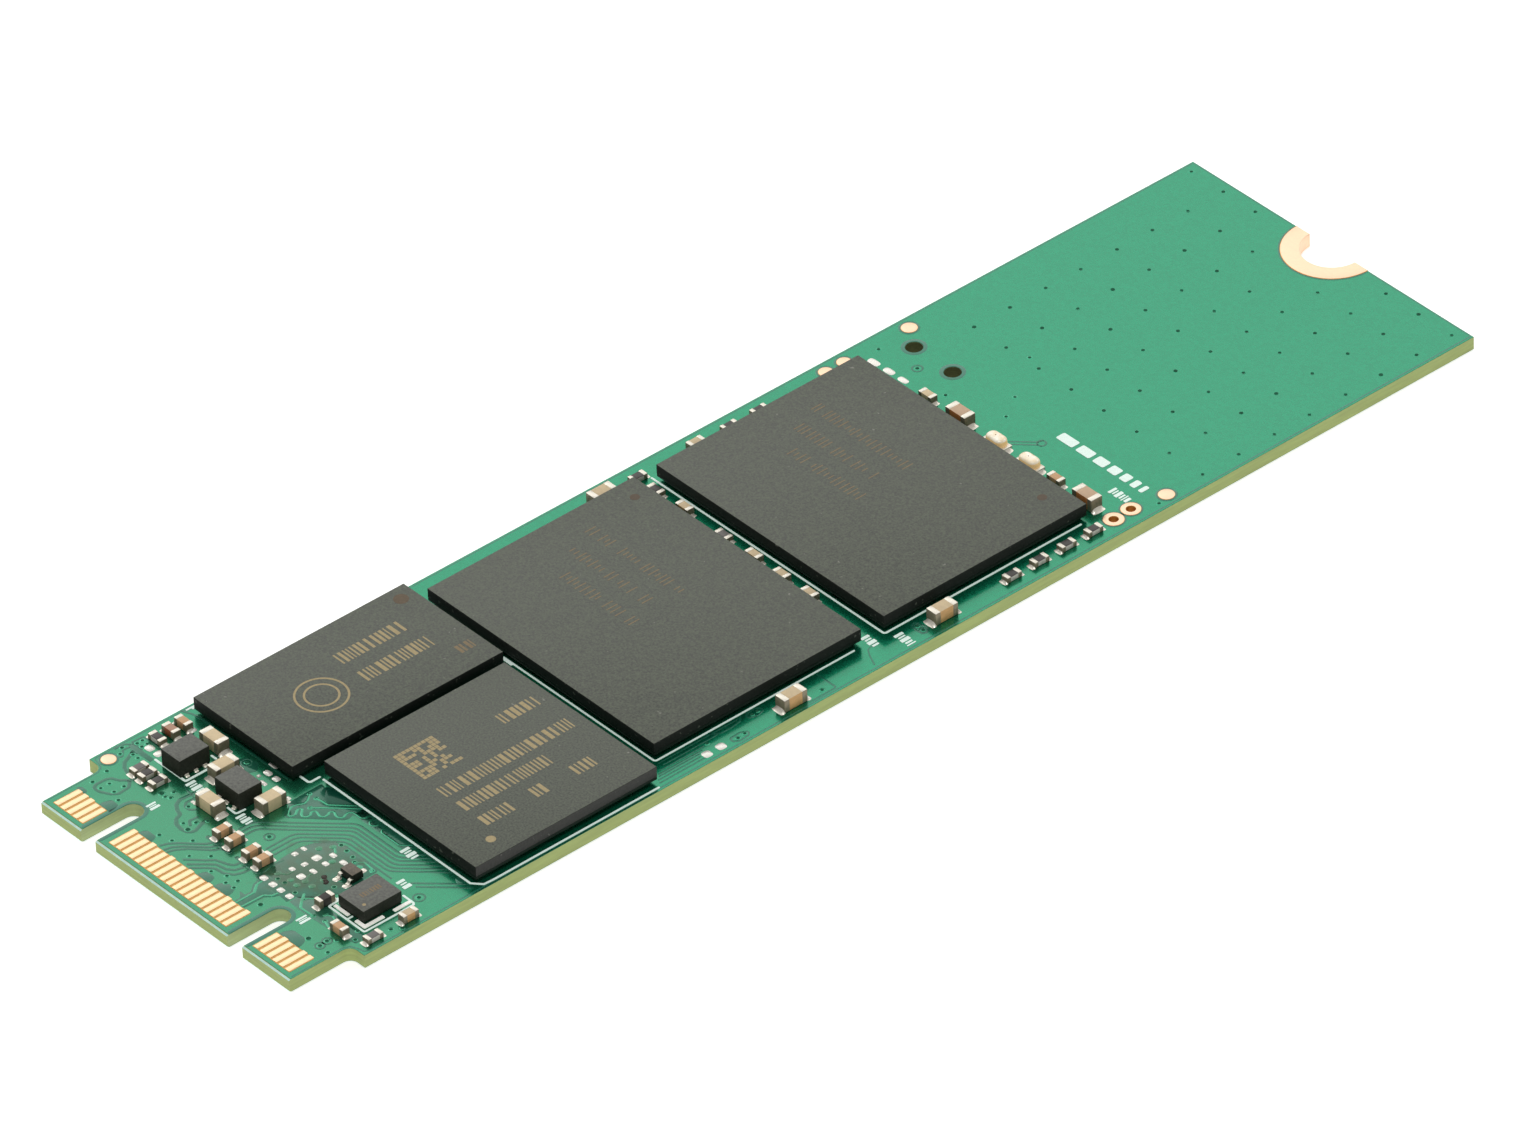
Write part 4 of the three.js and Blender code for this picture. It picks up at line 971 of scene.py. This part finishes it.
def label(x, y, w, h, n, along_y=False, slant=0.0):
    """A short generic mark: plain upright bars in place of lettering."""
    widths = [1.0, 0.55, 1.3, 0.7, 0.45, 1.1][:n]
    gapw = 0.42
    unit = w / (sum(widths) + gapw * (n - 1))
    c = x - w / 2
    for i in range(n):
        bw = widths[i] * unit
        hh = h * (1.0 if i % 2 == 0 else 0.78)
        c0, c1 = c, c + bw
        poly = [(c0 - slant, y - hh / 2), (c1 - slant, y - hh / 2), (c1 + slant, y + hh / 2), (c0 + slant, y + hh / 2)]
        silk.prism(fillet(poly, 0.05, n=3, closed=True), 0.004, 0.021 + dz(), ink_painted_glow, inset=0.006)
        c = c1 + gapw * unit


label(-5.5, 6.5, 0.95, 0.62, 4)
label(-1.68, 6.62, 0.85, 0.6, 4)
label(7.95, 9.12, 0.75, 0.52, 3)
label(6.22, 10.93, 0.95, 0.6, 4)
label(-5.72, 3.92, 0.5, 0.62, 3)
label(6.68, 3.6, 0.46, 0.7, 3)
label(10.05, 40.85, 1.15, 0.6, 5)
label(8.95, 39.45, 1.0, 0.55, 4)
label(8.52, 57.12, 1.35, 0.58, 6)
# a plain graduated bar where the board carries its largest mark
x = 2.45
for i, w in enumerate((1.25, 1.05, 0.85, 0.7, 0.55, 0.42, 0.3)):
    poly = [(x, 58.05), (x + w, 58.05), (x + w, 58.68), (x, 58.68)]
    silk.prism(fillet(poly, 0.12, n=4, closed=True), 0.004, 0.021 + dz(), ink_painted_glow, inset=0.006)
    x += w + 0.26
silk.build("marking_ink_top", "solder_mask")

# ------------------------------------------------------------------ packages
def ticks(mb, rows, z0, z1, mat, seed, stroke=0.085, step=0.2):
    """Rows of plain upright strokes, grouped like a code strip. rows: (x, y0, y1, height); the row runs along y."""
    r = random.Random(seed)
    for x, y0, y1, h in rows:
        y = y0
        while y < y1 - stroke:
            w = stroke * r.choice((0.8, 1.0, 1.0, 1.7, 2.4))
            w = min(w, y1 - y)
            mb.prism([(x - h / 2, y), (x + h / 2, y), (x + h / 2, y + w), (x - h / 2, y + w)], z0, z1 + dz() * 0.3, mat)
            y += w + step * r.choice((0.42, 0.5, 0.62, 0.9))


BALLS = {"controller": (0.8, 14, 14), "dram": (0.8, 9, 16), "nand_1": (1.0, 17, 13), "nand_2": (1.0, 17, 13)}
for name, (pitch, cols, rows) in BALLS.items():
    (x0, y0, z0), (x1, y1, z1) = local_box(name + "_mould_cap")
    (sx0, sy0, sz0), (sx1, sy1, sz1) = local_box(name + "_substrate_and_balls")
    cx, cy = (x0 + x1) / 2, (y0 + y1) / 2
    mb = MB()
    # the controller's right-hand face takes the painted-light grey, the other sides the painted-shade tone
    right = mould_right_face_painted_light if name == "controller" else mould_side_painted_shade
    mb.rbox((x0, y0, z0), (x1, y1, z1), 0.028, 3, mould_side_painted_shade, faces_mat={"+z": mould, "+x": right})
    mb.build(name + "_moulding", "mould", replaces=(name + "_mould_cap",))
    mb = MB()
    sub0 = 0.24
    mb.rbox((sx0 + 0.01, sy0 + 0.01, sub0), (sx1 - 0.01, sy1 - 0.01, sub0 + 0.18), 0.015, 2, substrate)
    for i in range(cols):
        for j in range(rows):
            if 1 < i < cols - 2 and 1 < j < rows - 2:
                continue
            bx, by = cx + (i - (cols - 1) / 2) * pitch, cy + (j - (rows - 1) / 2) * pitch
            mb.disc(bx, by, [(0, 0.012), (0.13, 0.012), (0.185, 0.06), (0.2, 0.12), (0.185, 0.18), (0.14, 0.235), (0, 0.236)], solder, 14)
    mb.build(name + "_laminate_and_balls", "laminate", replaces=(name + "_substrate_and_balls",))

# etched marks, all generic: code strips, a cell block, a ring and the corner dots
top = local_box("controller_mould_cap")[1][2]
cl, ch = local_box("controller_mould_cap")
mb = MB()
zt = (top - 0.004, top + 0.0035)
ox, oy = cl[0], cl[1]
ticks(mb, [(ox + 3.55, oy + 8.7, oy + 11.1, 0.85)], *zt, etch, 3, 0.10, 0.26)
ticks(mb, [(ox + 6.15, oy + 2.65, oy + 11.2, 0.9)], *zt, etch, 4, 0.10, 0.26)
ticks(mb, [(ox + 7.7, oy + 2.65, oy + 8.5, 0.9)], *zt, etch, 5, 0.10, 0.26)
ticks(mb, [(ox + 9.35, oy + 2.65, oy + 4.6, 0.85), (ox + 9.35, oy + 6.0, oy + 6.8, 0.85), (ox + 9.35, oy + 8.7, oy + 10.1, 0.85)], *zt, etch, 6, 0.10, 0.26)
cells = random.Random(21)
for i in range(10):
    for j in range(10):
        if i in (0,) or j in (0,) or cells.random() < 0.52:
            a0, b0 = ox + 2.15 + i * 0.26, oy + 2.75 + j * 0.26
            mb.prism([(a0, b0), (a0 + 0.225, b0), (a0 + 0.225, b0 + 0.225), (a0, b0 + 0.225)], *zt, etch)
mb.disc(ox + 10.75, oy + 2.05, [(0, zt[0]), (0.27, zt[0]), (0.27, zt[1]), (0, zt[1])], etch, 24)
mb.build("controller_marks", "mould")

top = local_box("dram_mould_cap")[1][2]
cl, ch = local_box("dram_mould_cap")
zt = (top - 0.004, top + 0.0035)
ox, oy = cl[0], cl[1]
mb = MB()
ticks(mb, [(ox + 2.7, oy + 7.4, oy + 11.9, 0.95)], *zt, etch, 8, 0.10, 0.28)
ticks(mb, [(ox + 4.65, oy + 7.4, oy + 11.9, 0.95)], *zt, etch, 9, 0.10, 0.28)
for rr in (1.35, 0.85):
    mb.ring(ox + 4.4, oy + 4.9, [(rr, zt[0]), (rr + 0.12, zt[0]), (rr + 0.12, zt[1]), (rr, zt[1])], etch, 40)
mb.build("dram_marks", "mould")
mb = MB()
mb.disc(ox + 0.95, oy + 13.05, [(0, zt[0]), (0.42, zt[0]), (0.42, zt[1]), (0, zt[1])], etch_red, 26)
ticks(mb, [(ox + 6.3, oy + 12.4, oy + 13.6, 0.7)], *zt, etch_faint, 10, 0.08, 0.2)
mb.build("dram_faint_marks", "mould")

for name, dot in (("nand_1", (1.4, 12.9)), ("nand_2", (16.0, 12.7))):
    cl, ch = local_box(name + "_mould_cap")
    zt = (ch[2] - 0.004, ch[2] + 0.003)
    ox, oy = cl[0], cl[1]
    mb = MB()
    r = random.Random(name)
    for row, (yy, xa, xb) in enumerate(((9.4, 1.9, 9.5), (7.6, 2.6, 8.6), (5.9, 4.0, 9.6))):
        x = ox + xa
        while x < ox + xb:
            if r.random() < 0.85:
                hh = 0.75 * (1.0 if r.random() < 0.7 else 0.55)
                mb.prism([(x, oy + yy - hh / 2), (x + 0.07, oy + yy - hh / 2), (x + 0.07, oy + yy + hh / 2), (x, oy + yy + hh / 2)], zt[0], zt[1], etch_faint)
            x += 0.26 * (1 + 0.5 * r.random())
    mb.disc(ox + dot[0], oy + dot[1], [(0, zt[0]), (0.27, zt[0]), (0.27, zt[1]), (0, zt[1])], etch_dot, 24)
    mb.build(name + "_marks", "mould")

# ------------------------------------------------------------------ solder shapes
sol = MB()


def fillet_solder(mb, x, y, ang, width, length, height, flare=1.08, mat=None, nose=0.35):
    """A concave wedge of solder from an end cap down to its pad. (x, y) is the middle of the cap's foot and ang the way out."""
    NS, NT = 6, 8
    c, s = math.cos(ang), math.sin(ang)
    grid = []
    for i in range(NS + 1):
        u = i / NS
        for j in range(NT + 1):
            t = j / NT * 2 - 1
            hw = width / 2 * (1 + (flare - 1) * u) * (1 - nose * u ** 4)
            side = (1 - abs(t) ** 4)
            h = height * ((1 - u) ** 1.9 * 0.94 + 0.06 * (1 - u ** 3)) * (0.25 + 0.75 * side) * (1 if u < 1 else 0)
            px, py = u * length * (1 - 0.12 * t * t), t * hw
            if i == NS or j in (0, NT):
                h = h * 0.25
            grid.append((x + px * c - py * s, y + px * s + py * c, 0.004 + max(h, 0.002)))
    base = [(p[0], p[1], 0.0015) for p in grid]
    verts = grid + base
    G = len(grid)
    faces = []
    row = NT + 1
    for i in range(NS):
        for j in range(NT):
            a = i * row + j
            faces.append((a, a + row, a + row + 1, a + 1))
            faces.append((G + a, G + a + 1, G + a + row + 1, G + a + row))
    for i in range(NS):
        for j in (0, NT):
            a = i * row + j
            f = (a, a + row, G + a + row, G + a)
            faces.append(f if j else f[::-1])
    for j in range(NT):
        for i in (0, NS):
            a = i * row + j
            f = (a, a + 1, G + a + 1, G + a)
            faces.append(f if i else f[::-1])
    mb.add(verts, faces, mat or solder)


def dome(mb, x, y, w, l, h, mat=None, ang=0.0, power=2.4, n=18, rings=5):
    """A pad with a low mound of solder: rounded outline w by l."""
    c, s = math.cos(ang), math.sin(ang)
    verts = []
    for k in range(rings + 1):
        q = 1 - k / rings
        for i in range(n):
            a = 2 * math.pi * i / n
            ca, sa = math.cos(a), math.sin(a)
            e = 2 / 3.2
            px = abs(ca) ** e * (1 if ca > 0 else -1) * w / 2 * q
            py = abs(sa) ** e * (1 if sa > 0 else -1) * l / 2 * q
            if q == 0:
                px = py = 0
            z = 0.005 + h * (1 - q ** power)
            verts.append((x + px * c - py * s, y + px * s + py * c, z))
    faces = []
    for k in range(rings - 1):
        for i in range(n):
            j = (i + 1) % n
            faces.append((k * n + i, k * n + j, (k + 1) * n + j, (k + 1) * n + i))
    tip = rings * n
    for i in range(n):
        faces.append(((rings - 1) * n + i, (rings - 1) * n + (i + 1) % n, tip))
    low = len(verts)
    verts += [(v[0], v[1], 0.001) for v in verts[:n]]
    for i in range(n):
        j = (i + 1) % n
        faces.append((low + i, low + j, j, i))
    faces.append(tuple(low + i for i in reversed(range(n))))
    # the spare copies of the tip are dropped by validate()
    keep = tip + 1
    verts2 = verts[:keep] + verts[low:]
    shift = low - keep
    faces = [tuple(i if i < keep else i - shift for i in f) for f in faces]
    mb.add(verts2, faces, mat or solder)


# ------------------------------------------------------------------ chip parts
KIND = {}
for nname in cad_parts:
    if nname.startswith("supply_capacitor"):
        KIND[nname] = ("cap", cream)
    elif nname == "bypass_capacitor_2":
        KIND[nname] = ("cap", rust)
    elif nname in ("end_capacitor_2", "end_capacitor_4"):
        KIND[nname] = ("cap", greybrown)
    elif nname in ("nand_capacitor_5", "nand_capacitor_6", "nand_capacitor_7", "nand_capacitor_1", "nand_capacitor_2", "nand_capacitor_3", "nand_capacitor_4", "clock_capacitor_1"):
        KIND[nname] = ("cap", tan)
    elif nname == "end_capacitor_1":
        KIND[nname] = ("cap", cream)
    elif "capacitor" in nname:
        KIND[nname] = ("cap", brown)
    elif nname in ("clock_resistor", "nand_resistor_2"):
        KIND[nname] = ("res", resist_grey)
    elif "resistor" in nname:
        KIND[nname] = ("res", resist)
    elif nname == "ferrite_bead":
        KIND[nname] = ("cap", bead)


def chip(mb_body, lo, hi, kind, body, fill=(0.3, 0.3), seedn=0):
    (x0, y0, z0), (x1, y1, z1) = lo, hi
    L, Wd, H = (x1 - x0, y1 - y0, z1 - z0) if x1 - x0 > y1 - y0 else (y1 - y0, x1 - x0, z1 - z0)
    along_y = y1 - y0 > x1 - x0
    cx, cy = (x0 + x1) / 2, (y0 + y1) / 2
    cap = 0.23 * L if L > 1.2 else 0.25 * L
    r = 0.055 if L > 1.2 else 0.04

    def b(u0, u1, v0, v1, w0, w1, rr, mat, topm=None):
        if along_y:
            mb_body.rbox((cx + v0, cy + u0, w0), (cx + v1, cy + u1, w1), rr, 2, mat, top=topm)
        else:
            mb_body.rbox((cx + u0, cy + v0, w0), (cx + u1, cy + v1, w1), rr, 2, mat, top=topm)

    e = 0.018
    if kind == "cap":
        # ceramic sides take the painted-shade copy, the top the body colour
        b(-L / 2 + cap - 0.04, L / 2 - cap + 0.04, -Wd / 2 + e, Wd / 2 - e, z0 + e, z1 - e, 0.02, PAINTED_SHADE_SIDES.get(body.name, body), body)
    else:
        b(-L / 2 + 0.03, L / 2 - 0.03, -Wd / 2 + e, Wd / 2 - e, z0 + e, z1 - 0.05, 0.012, alumina)
        b(-L / 2 + cap - 0.03, L / 2 - cap + 0.03, -Wd / 2 + e + 0.01, Wd / 2 - e - 0.01, z1 - 0.06, z1 - 0.012, 0.012, body)
    for sgn in (-1, 1):
        a, c = (-L / 2, -L / 2 + cap) if sgn < 0 else (L / 2 - cap, L / 2)
        # terminal tops tinned bright, sides in the painted-shade tone
        b(a, c, -Wd / 2, Wd / 2, z0, z1, r, tin_side_painted_shade, tin)
    for sgn, f in zip((-1, 1), fill):
        if f <= 0:
            continue
        ang = (math.pi / 2 if along_y else 0.0) + (0 if sgn > 0 else math.pi)
        ux, uy = math.cos(ang), math.sin(ang)
        fillet_solder(sol, cx + ux * (L / 2 - 0.03), cy + uy * (L / 2 - 0.03), ang, Wd * 1.02, f + 0.03, min(H * 0.36, 0.24), nose=0.12)


for nname, (kind, body) in KIND.items():
    lo, hi = local_box(nname)
    big = max(hi[0] - lo[0], hi[1] - lo[1]) > 1.2
    f = 0.27 if big else 0.20
    mb = MB()
    chip(mb, lo, hi, kind, body, (f, f))
    mb.build(nname + "_body", None, replaces=(nname,))

# parts on the card too small to carry their own solid in the frame
extra = [
    ((-8.45, 5.23), 1, 0.35, "res", resist_grey, "sense_resistor"),
    ((-9.86, 48.2), 1, 0.35, "res", resist, "edge_resistor_1"),
    ((-9.86, 46.15), 1, 0.35, "res", resist, "edge_resistor_2"),
    ((-9.86, 43.8), 1, 0.5, "cap", tan, "edge_capacitor"),
    ((-9.80, 39.75), 1, 0.35, "res", resist, "corner_resistor"),
]
for (x, y), along, h, kind, body, nm in extra:
    hx, hy = (0.25, 0.5) if along else (0.5, 0.25)
    mb = MB()
    chip(mb, (x - hx, y - hy, 0.01), (x + hx, y + hy, h), kind, body, (0.2, 0.2))
    mb.build(nm, None)

# ------------------------------------------------------------------ regulators
for nname, turn in (("regulator_1", 0), ("regulator_2", 1)):
    (x0, y0, z0), (x1, y1, z1) = local_box(nname)
    cx, cy = (x0 + x1) / 2, (y0 + y1) / 2
    hw, hl = 0.76, 0.98
    mb = MB()
    bx, by = (hl, hw) if turn else (hw, hl)
    mb.rbox((cx - bx, cy - by, 0.03), (cx + bx, cy + by, z1), 0.035, 3, ic_side_painted_shade, faces_mat={"+z": ic_top})
    for sgn in (-1, 1):
        for p in (-0.6, 0.0, 0.6):
            a0, a1 = sorted((sgn * 0.5, sgn * 0.835))
            if turn:
                mb.rbox((cx + p - 0.13, cy + a0, 0.01), (cx + p + 0.13, cy + a1, 0.12), 0.02, 2, tin)
            else:
                mb.rbox((cx + a0, cy + p - 0.13, 0.01), (cx + a1, cy + p + 0.13, 0.12), 0.02, 2, tin)
            ang = (math.pi / 2 if turn else 0) + (0 if sgn > 0 else math.pi)
            ux, uy = math.cos(ang), math.sin(ang)
            px, py = (cx + p, cy) if turn else (cx, cy + p)
            fillet_solder(sol, px + ux * 0.78, py + uy * 0.78, ang, 0.25, 0.17, 0.13)
    mb.build(nname + "_body", "mould", replaces=(nname,))

# ------------------------------------------------------------------ oscillator
(x0, y0, z0), (x1, y1, z1) = local_box("clock_oscillator")
cx, cy = (x0 + x1) / 2, (y0 + y1) / 2
mb = MB()
mb.rbox((x0, y0, 0.1), (x1, y1, z1), 0.035, 3, ic_side_painted_shade, faces_mat={"+z": ic_top})
mb.rbox((x0 + 0.03, y0 + 0.03, 0.03), (x1 - 0.03, y1 - 0.03, 0.12), 0.015, 2, ic_side_painted_shade)
zt = (z1 - 0.004, z1 + 0.003)
ticks(mb, [(cx - 0.1, y0 + 0.75, y0 + 2.0, 0.35)], *zt, etch_faint, 12, 0.05, 0.13)
mb.disc(x1 - 0.45, y0 + 0.42, [(0, zt[0]), (0.1, zt[0]), (0.1, zt[1]), (0, zt[1])], etch, 16)
mb.build("clock_oscillator_body", "mould", replaces=("clock_oscillator",))
# oscillator lands in the painted-glow tone
for poly in ([(8.55, 5.36), (9.38, 5.36), (9.38, 6.72), (9.14, 6.72), (9.14, 5.60), (8.55, 5.60)],
             [(9.14, 7.36), (9.38, 7.36), (9.38, 8.45), (9.14, 8.45)], [(6.86, 5.38), (8.0, 5.38), (8.0, 5.60), (6.86, 5.60)],
             [(6.86, 5.70), (7.06, 5.70), (7.06, 6.5), (6.86, 6.5)], [(6.86, 7.5), (7.06, 7.5), (7.06, 8.4), (6.86, 8.4)]):
    sol.prism(fillet(poly, 0.05, n=4, closed=True), 0.001, 0.045, land_tone_painted_glow, inset=0.02)


# ------------------------------------------------------------------ transistor
(x0, y0, z0), (x1, y1, z1) = local_box("reset_transistor")
cx, cy = (x0 + x1) / 2, (y0 + y1) / 2
mb = MB()
mb.rbox((cx - 0.5, cy - 0.37, 0.08), (cx + 0.5, cy + 0.37, z1), 0.03, 3, ic_side_painted_shade, faces_mat={"+z": ic_top_brown}, taper=0.07)
for lx, sgn in ((0.0, 1), (-0.38, -1), (0.38, -1)):
    ya = cy + sgn * 0.3
    prof = [(0.0, 0.26), (0.12, 0.26), (0.2, 0.22), (0.24, 0.09), (0.3, 0.05), (0.36, 0.05)]
    th = 0.05
    w = 0.11
    rings = []
    for q, (d, z) in enumerate(prof):
        y = ya + sgn * d
        rings.append([(cx + lx - w, y, z - 0.02), (cx + lx + w, y, z - 0.02), (cx + lx + w, y, z + th - 0.02), (cx + lx - w, y, z + th - 0.02)])
    verts = [p for r_ in rings for p in r_]
    faces = [(k * 4 + i, k * 4 + (i + 1) % 4, (k + 1) * 4 + (i + 1) % 4, (k + 1) * 4 + i) for k in range(len(rings) - 1) for i in range(4)]
    faces += [(3, 2, 1, 0), tuple(len(verts) - 4 + i for i in range(4))]
    mb.add(verts, faces, tin)
    dome(sol, cx + lx, ya + sgn * 0.36, 0.36, 0.48, 0.05)
mb.build("reset_transistor_body", "mould", replaces=("reset_transistor",))

# ------------------------------------------------------------------ lights
for nname in ("activity_led", "power_led"):
    (x0, y0, z0), (x1, y1, z1) = local_box(nname)
    cx, cy = (x0 + x1) / 2, (y0 + y1) / 2
    mb = MB()
    mb.rbox((x0 + 0.06, y0 + 0.02, 0.012), (x1 - 0.06, y1 - 0.02, 0.2), 0.02, 2, led_base)
    for sgn in (-1, 1):
        a0, a1 = (x0, x0 + 0.26) if sgn < 0 else (x1 - 0.26, x1)
        mb.rbox((a0, y0 + 0.02, 0.01), (a1, y1 - 0.02, 0.215), 0.03, 2, tin)
        fillet_solder(sol, cx + sgn * 0.78, cy, 0 if sgn > 0 else math.pi, 0.66, 0.26, 0.18)
    # lens: rounded block with a crowned top
    poly = rounded_rect(x0 + 0.13, x1 - 0.17, y0 + 0.0, y1 - 0.0, 0.38, 9)
    H = z1 - 0.002
    rings = []
    for z, d in ((0.195, 0.0), (H - 0.19, 0.01), (H - 0.11, 0.03), (H - 0.05, 0.08), (H - 0.015, 0.15), (H, 0.23)):
        rings.append([(p[0], p[1], z) for p in offset(poly, -d)])
    mb.loft(rings, [lens_rim_painted_glow, lens_rim_painted_glow, lens, lens, lens], (lens_rim_painted_glow, lens))
    mb.disc(cx - 0.10, cy + 0.02, [(0, H - 0.002), (0.045, H - 0.002), (0.04, H + 0.0005), (0, H + 0.001)], led_die, 12)
    mb.build(nname + "_lamp", "led_lens", replaces=(nname,))

# ------------------------------------------------------------------ bare pads and beads of solder
for x, y, w, l, h in (
    # unfitted flash footprint
    (3.68, 8.02, 0.4, 0.3, 0.07), (4.5, 8.02, 0.42, 0.32, 0.07), (2.25, 7.28, 0.34, 0.24, 0.06), (2.26, 6.68, 0.3, 0.32, 0.07),
    (3.27, 7.28, 0.44, 0.46, 0.08), (3.95, 7.3, 0.36, 0.3, 0.06), (3.25, 6.5, 0.3, 0.34, 0.07), (4.0, 6.46, 0.42, 0.28, 0.06),
    (3.12, 5.8, 0.32, 0.28, 0.06), (3.9, 5.74, 0.42, 0.4, 0.06),
    (2.7, 4.3, 0.42, 0.36, 0.07), (3.42, 4.3, 0.42, 0.36, 0.07), (4.05, 4.3, 0.4, 0.34, 0.07), (4.74, 4.3, 0.4, 0.36, 0.07),
    # power area
    (-9.58, 6.82, 0.5, 0.44, 0.07), (-8.9, 6.86, 0.44, 0.5, 0.07), (-4.1, 10.5, 0.6, 0.26, 0.07), (-3.82, 9.9, 0.5, 0.34, 0.07), (-3.15, 9.9, 0.42, 0.36, 0.07),
    (-3.95, 9.4, 0.2, 0.22, 0.09), (-3.35, 9.2, 0.5, 0.26, 0.08), (-9.25, 9.35, 0.36, 0.4, 0.09), (-1.5, 9.35, 0.3, 0.2, 0.06),
    (-4.58, 5.62, 0.24, 0.2, 0.05), (-2.65, 5.65, 0.3, 0.24, 0.06),
    # right-hand strip
    (10.36, 28.12, 0.5, 0.52, 0.06), (10.36, 27.18, 0.5, 0.5, 0.06), (10.36, 34.0, 0.28, 0.24, 0.06),
    # behind the second flash package
    (-9.1, 55.55, 0.75, 0.4, 0.05), (-7.95, 55.6, 0.7, 0.4, 0.06), (-6.85, 55.62, 0.65, 0.36, 0.05),
):
    dome(sol, x, y, w * 1.08, l * 1.08, h * 0.8, pad_tin)
sol.build("solder_joints", None)

# dark specks left by cleaning
mb = MB()
for x, y, r in ((4.75, 6.55, 0.17), (5.0, 6.42, 0.12), (5.15, 6.35, 0.15), (-6.9, 5.5, 0.1), (-7.15, 4.75, 0.12)):
    dome(mb, x, y, r * 2.2, r * 1.7, 0.07, crumb, rng.uniform(0, 3))
mb.build("flux_crumbs", None)

# ------------------------------------------------------------------ underside
under_gap, under = MB(), MB()
for x, y in GRID + SMALL[:40]:
    via(under, x, y, 0.15, 0.08, 0.0035, side=-1)
under.build("vias_underside", "solder_mask")
mb = MB()
zu = -THICK + 0.001
for x, y, r in ((-10.14, 58.94, 0.46), (10.12, 58.93, 0.46), (-10.3, 4.7, 0.42)):
    mb.disc(x, y, [(0, zu), (r, zu), (r, zu + 0.01), (0, zu + 0.01)], gold, 32)
mb.build("gold_test_pads_underside", "gold")
mb = MB()
for pts in ([(-9.4, 10.5), (-9.4, 38.5), (9.4, 38.5), (9.4, 10.5), (-9.4, 10.5)], [(-9.4, 40.4), (-9.4, 54.6), (9.4, 54.6), (9.4, 40.4), (-9.4, 40.4)]):
    mb.ribbon(pts, 0.12, -THICK + 0.001, -THICK + 0.006, ink_painted_glow, slope=0.0)
mb.build("marking_ink_underside", "solder_mask")

# ------------------------------------------------------------------ floor
me = bpy.data.meshes.new("floor")
s = 3.0
zf = CARD[0].z - 0.00002
me.from_pydata([(-s, -s, zf), (s, -s, zf), (s, s, zf), (-s, s, zf)], [], [(0, 1, 2, 3)])
floor = bpy.data.objects.new("floor", me)
bpy.context.scene.collection.objects.link(floor)
fm_ = bpy.data.materials.new("floor_paper")
fm_.use_nodes = True
fb = fm_.node_tree.nodes["Principled BSDF"]
fb.inputs["Base Color"].default_value = (0.93, 0.93, 0.93, 1)
fb.inputs["Roughness"].default_value = 0.9
fb.inputs["Specular IOR Level"].default_value = 0.1
fb.inputs["Emission Color"].default_value = (1, 1, 1, 1)
fb.inputs["Emission Strength"].default_value = 0.5
me.materials.append(fm_)

# die solids are sealed inside their packages; they keep a finish of their own
silicon = pm("silicon_die", lin(112, 116, 126), 0.22, metal=0.3, var=0.08, scale=1800)
for nname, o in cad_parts.items():
    if nname.endswith("_die") or nname.endswith("_die_stack"):
        o.data.materials.clear()
        o.data.materials.append(silicon)
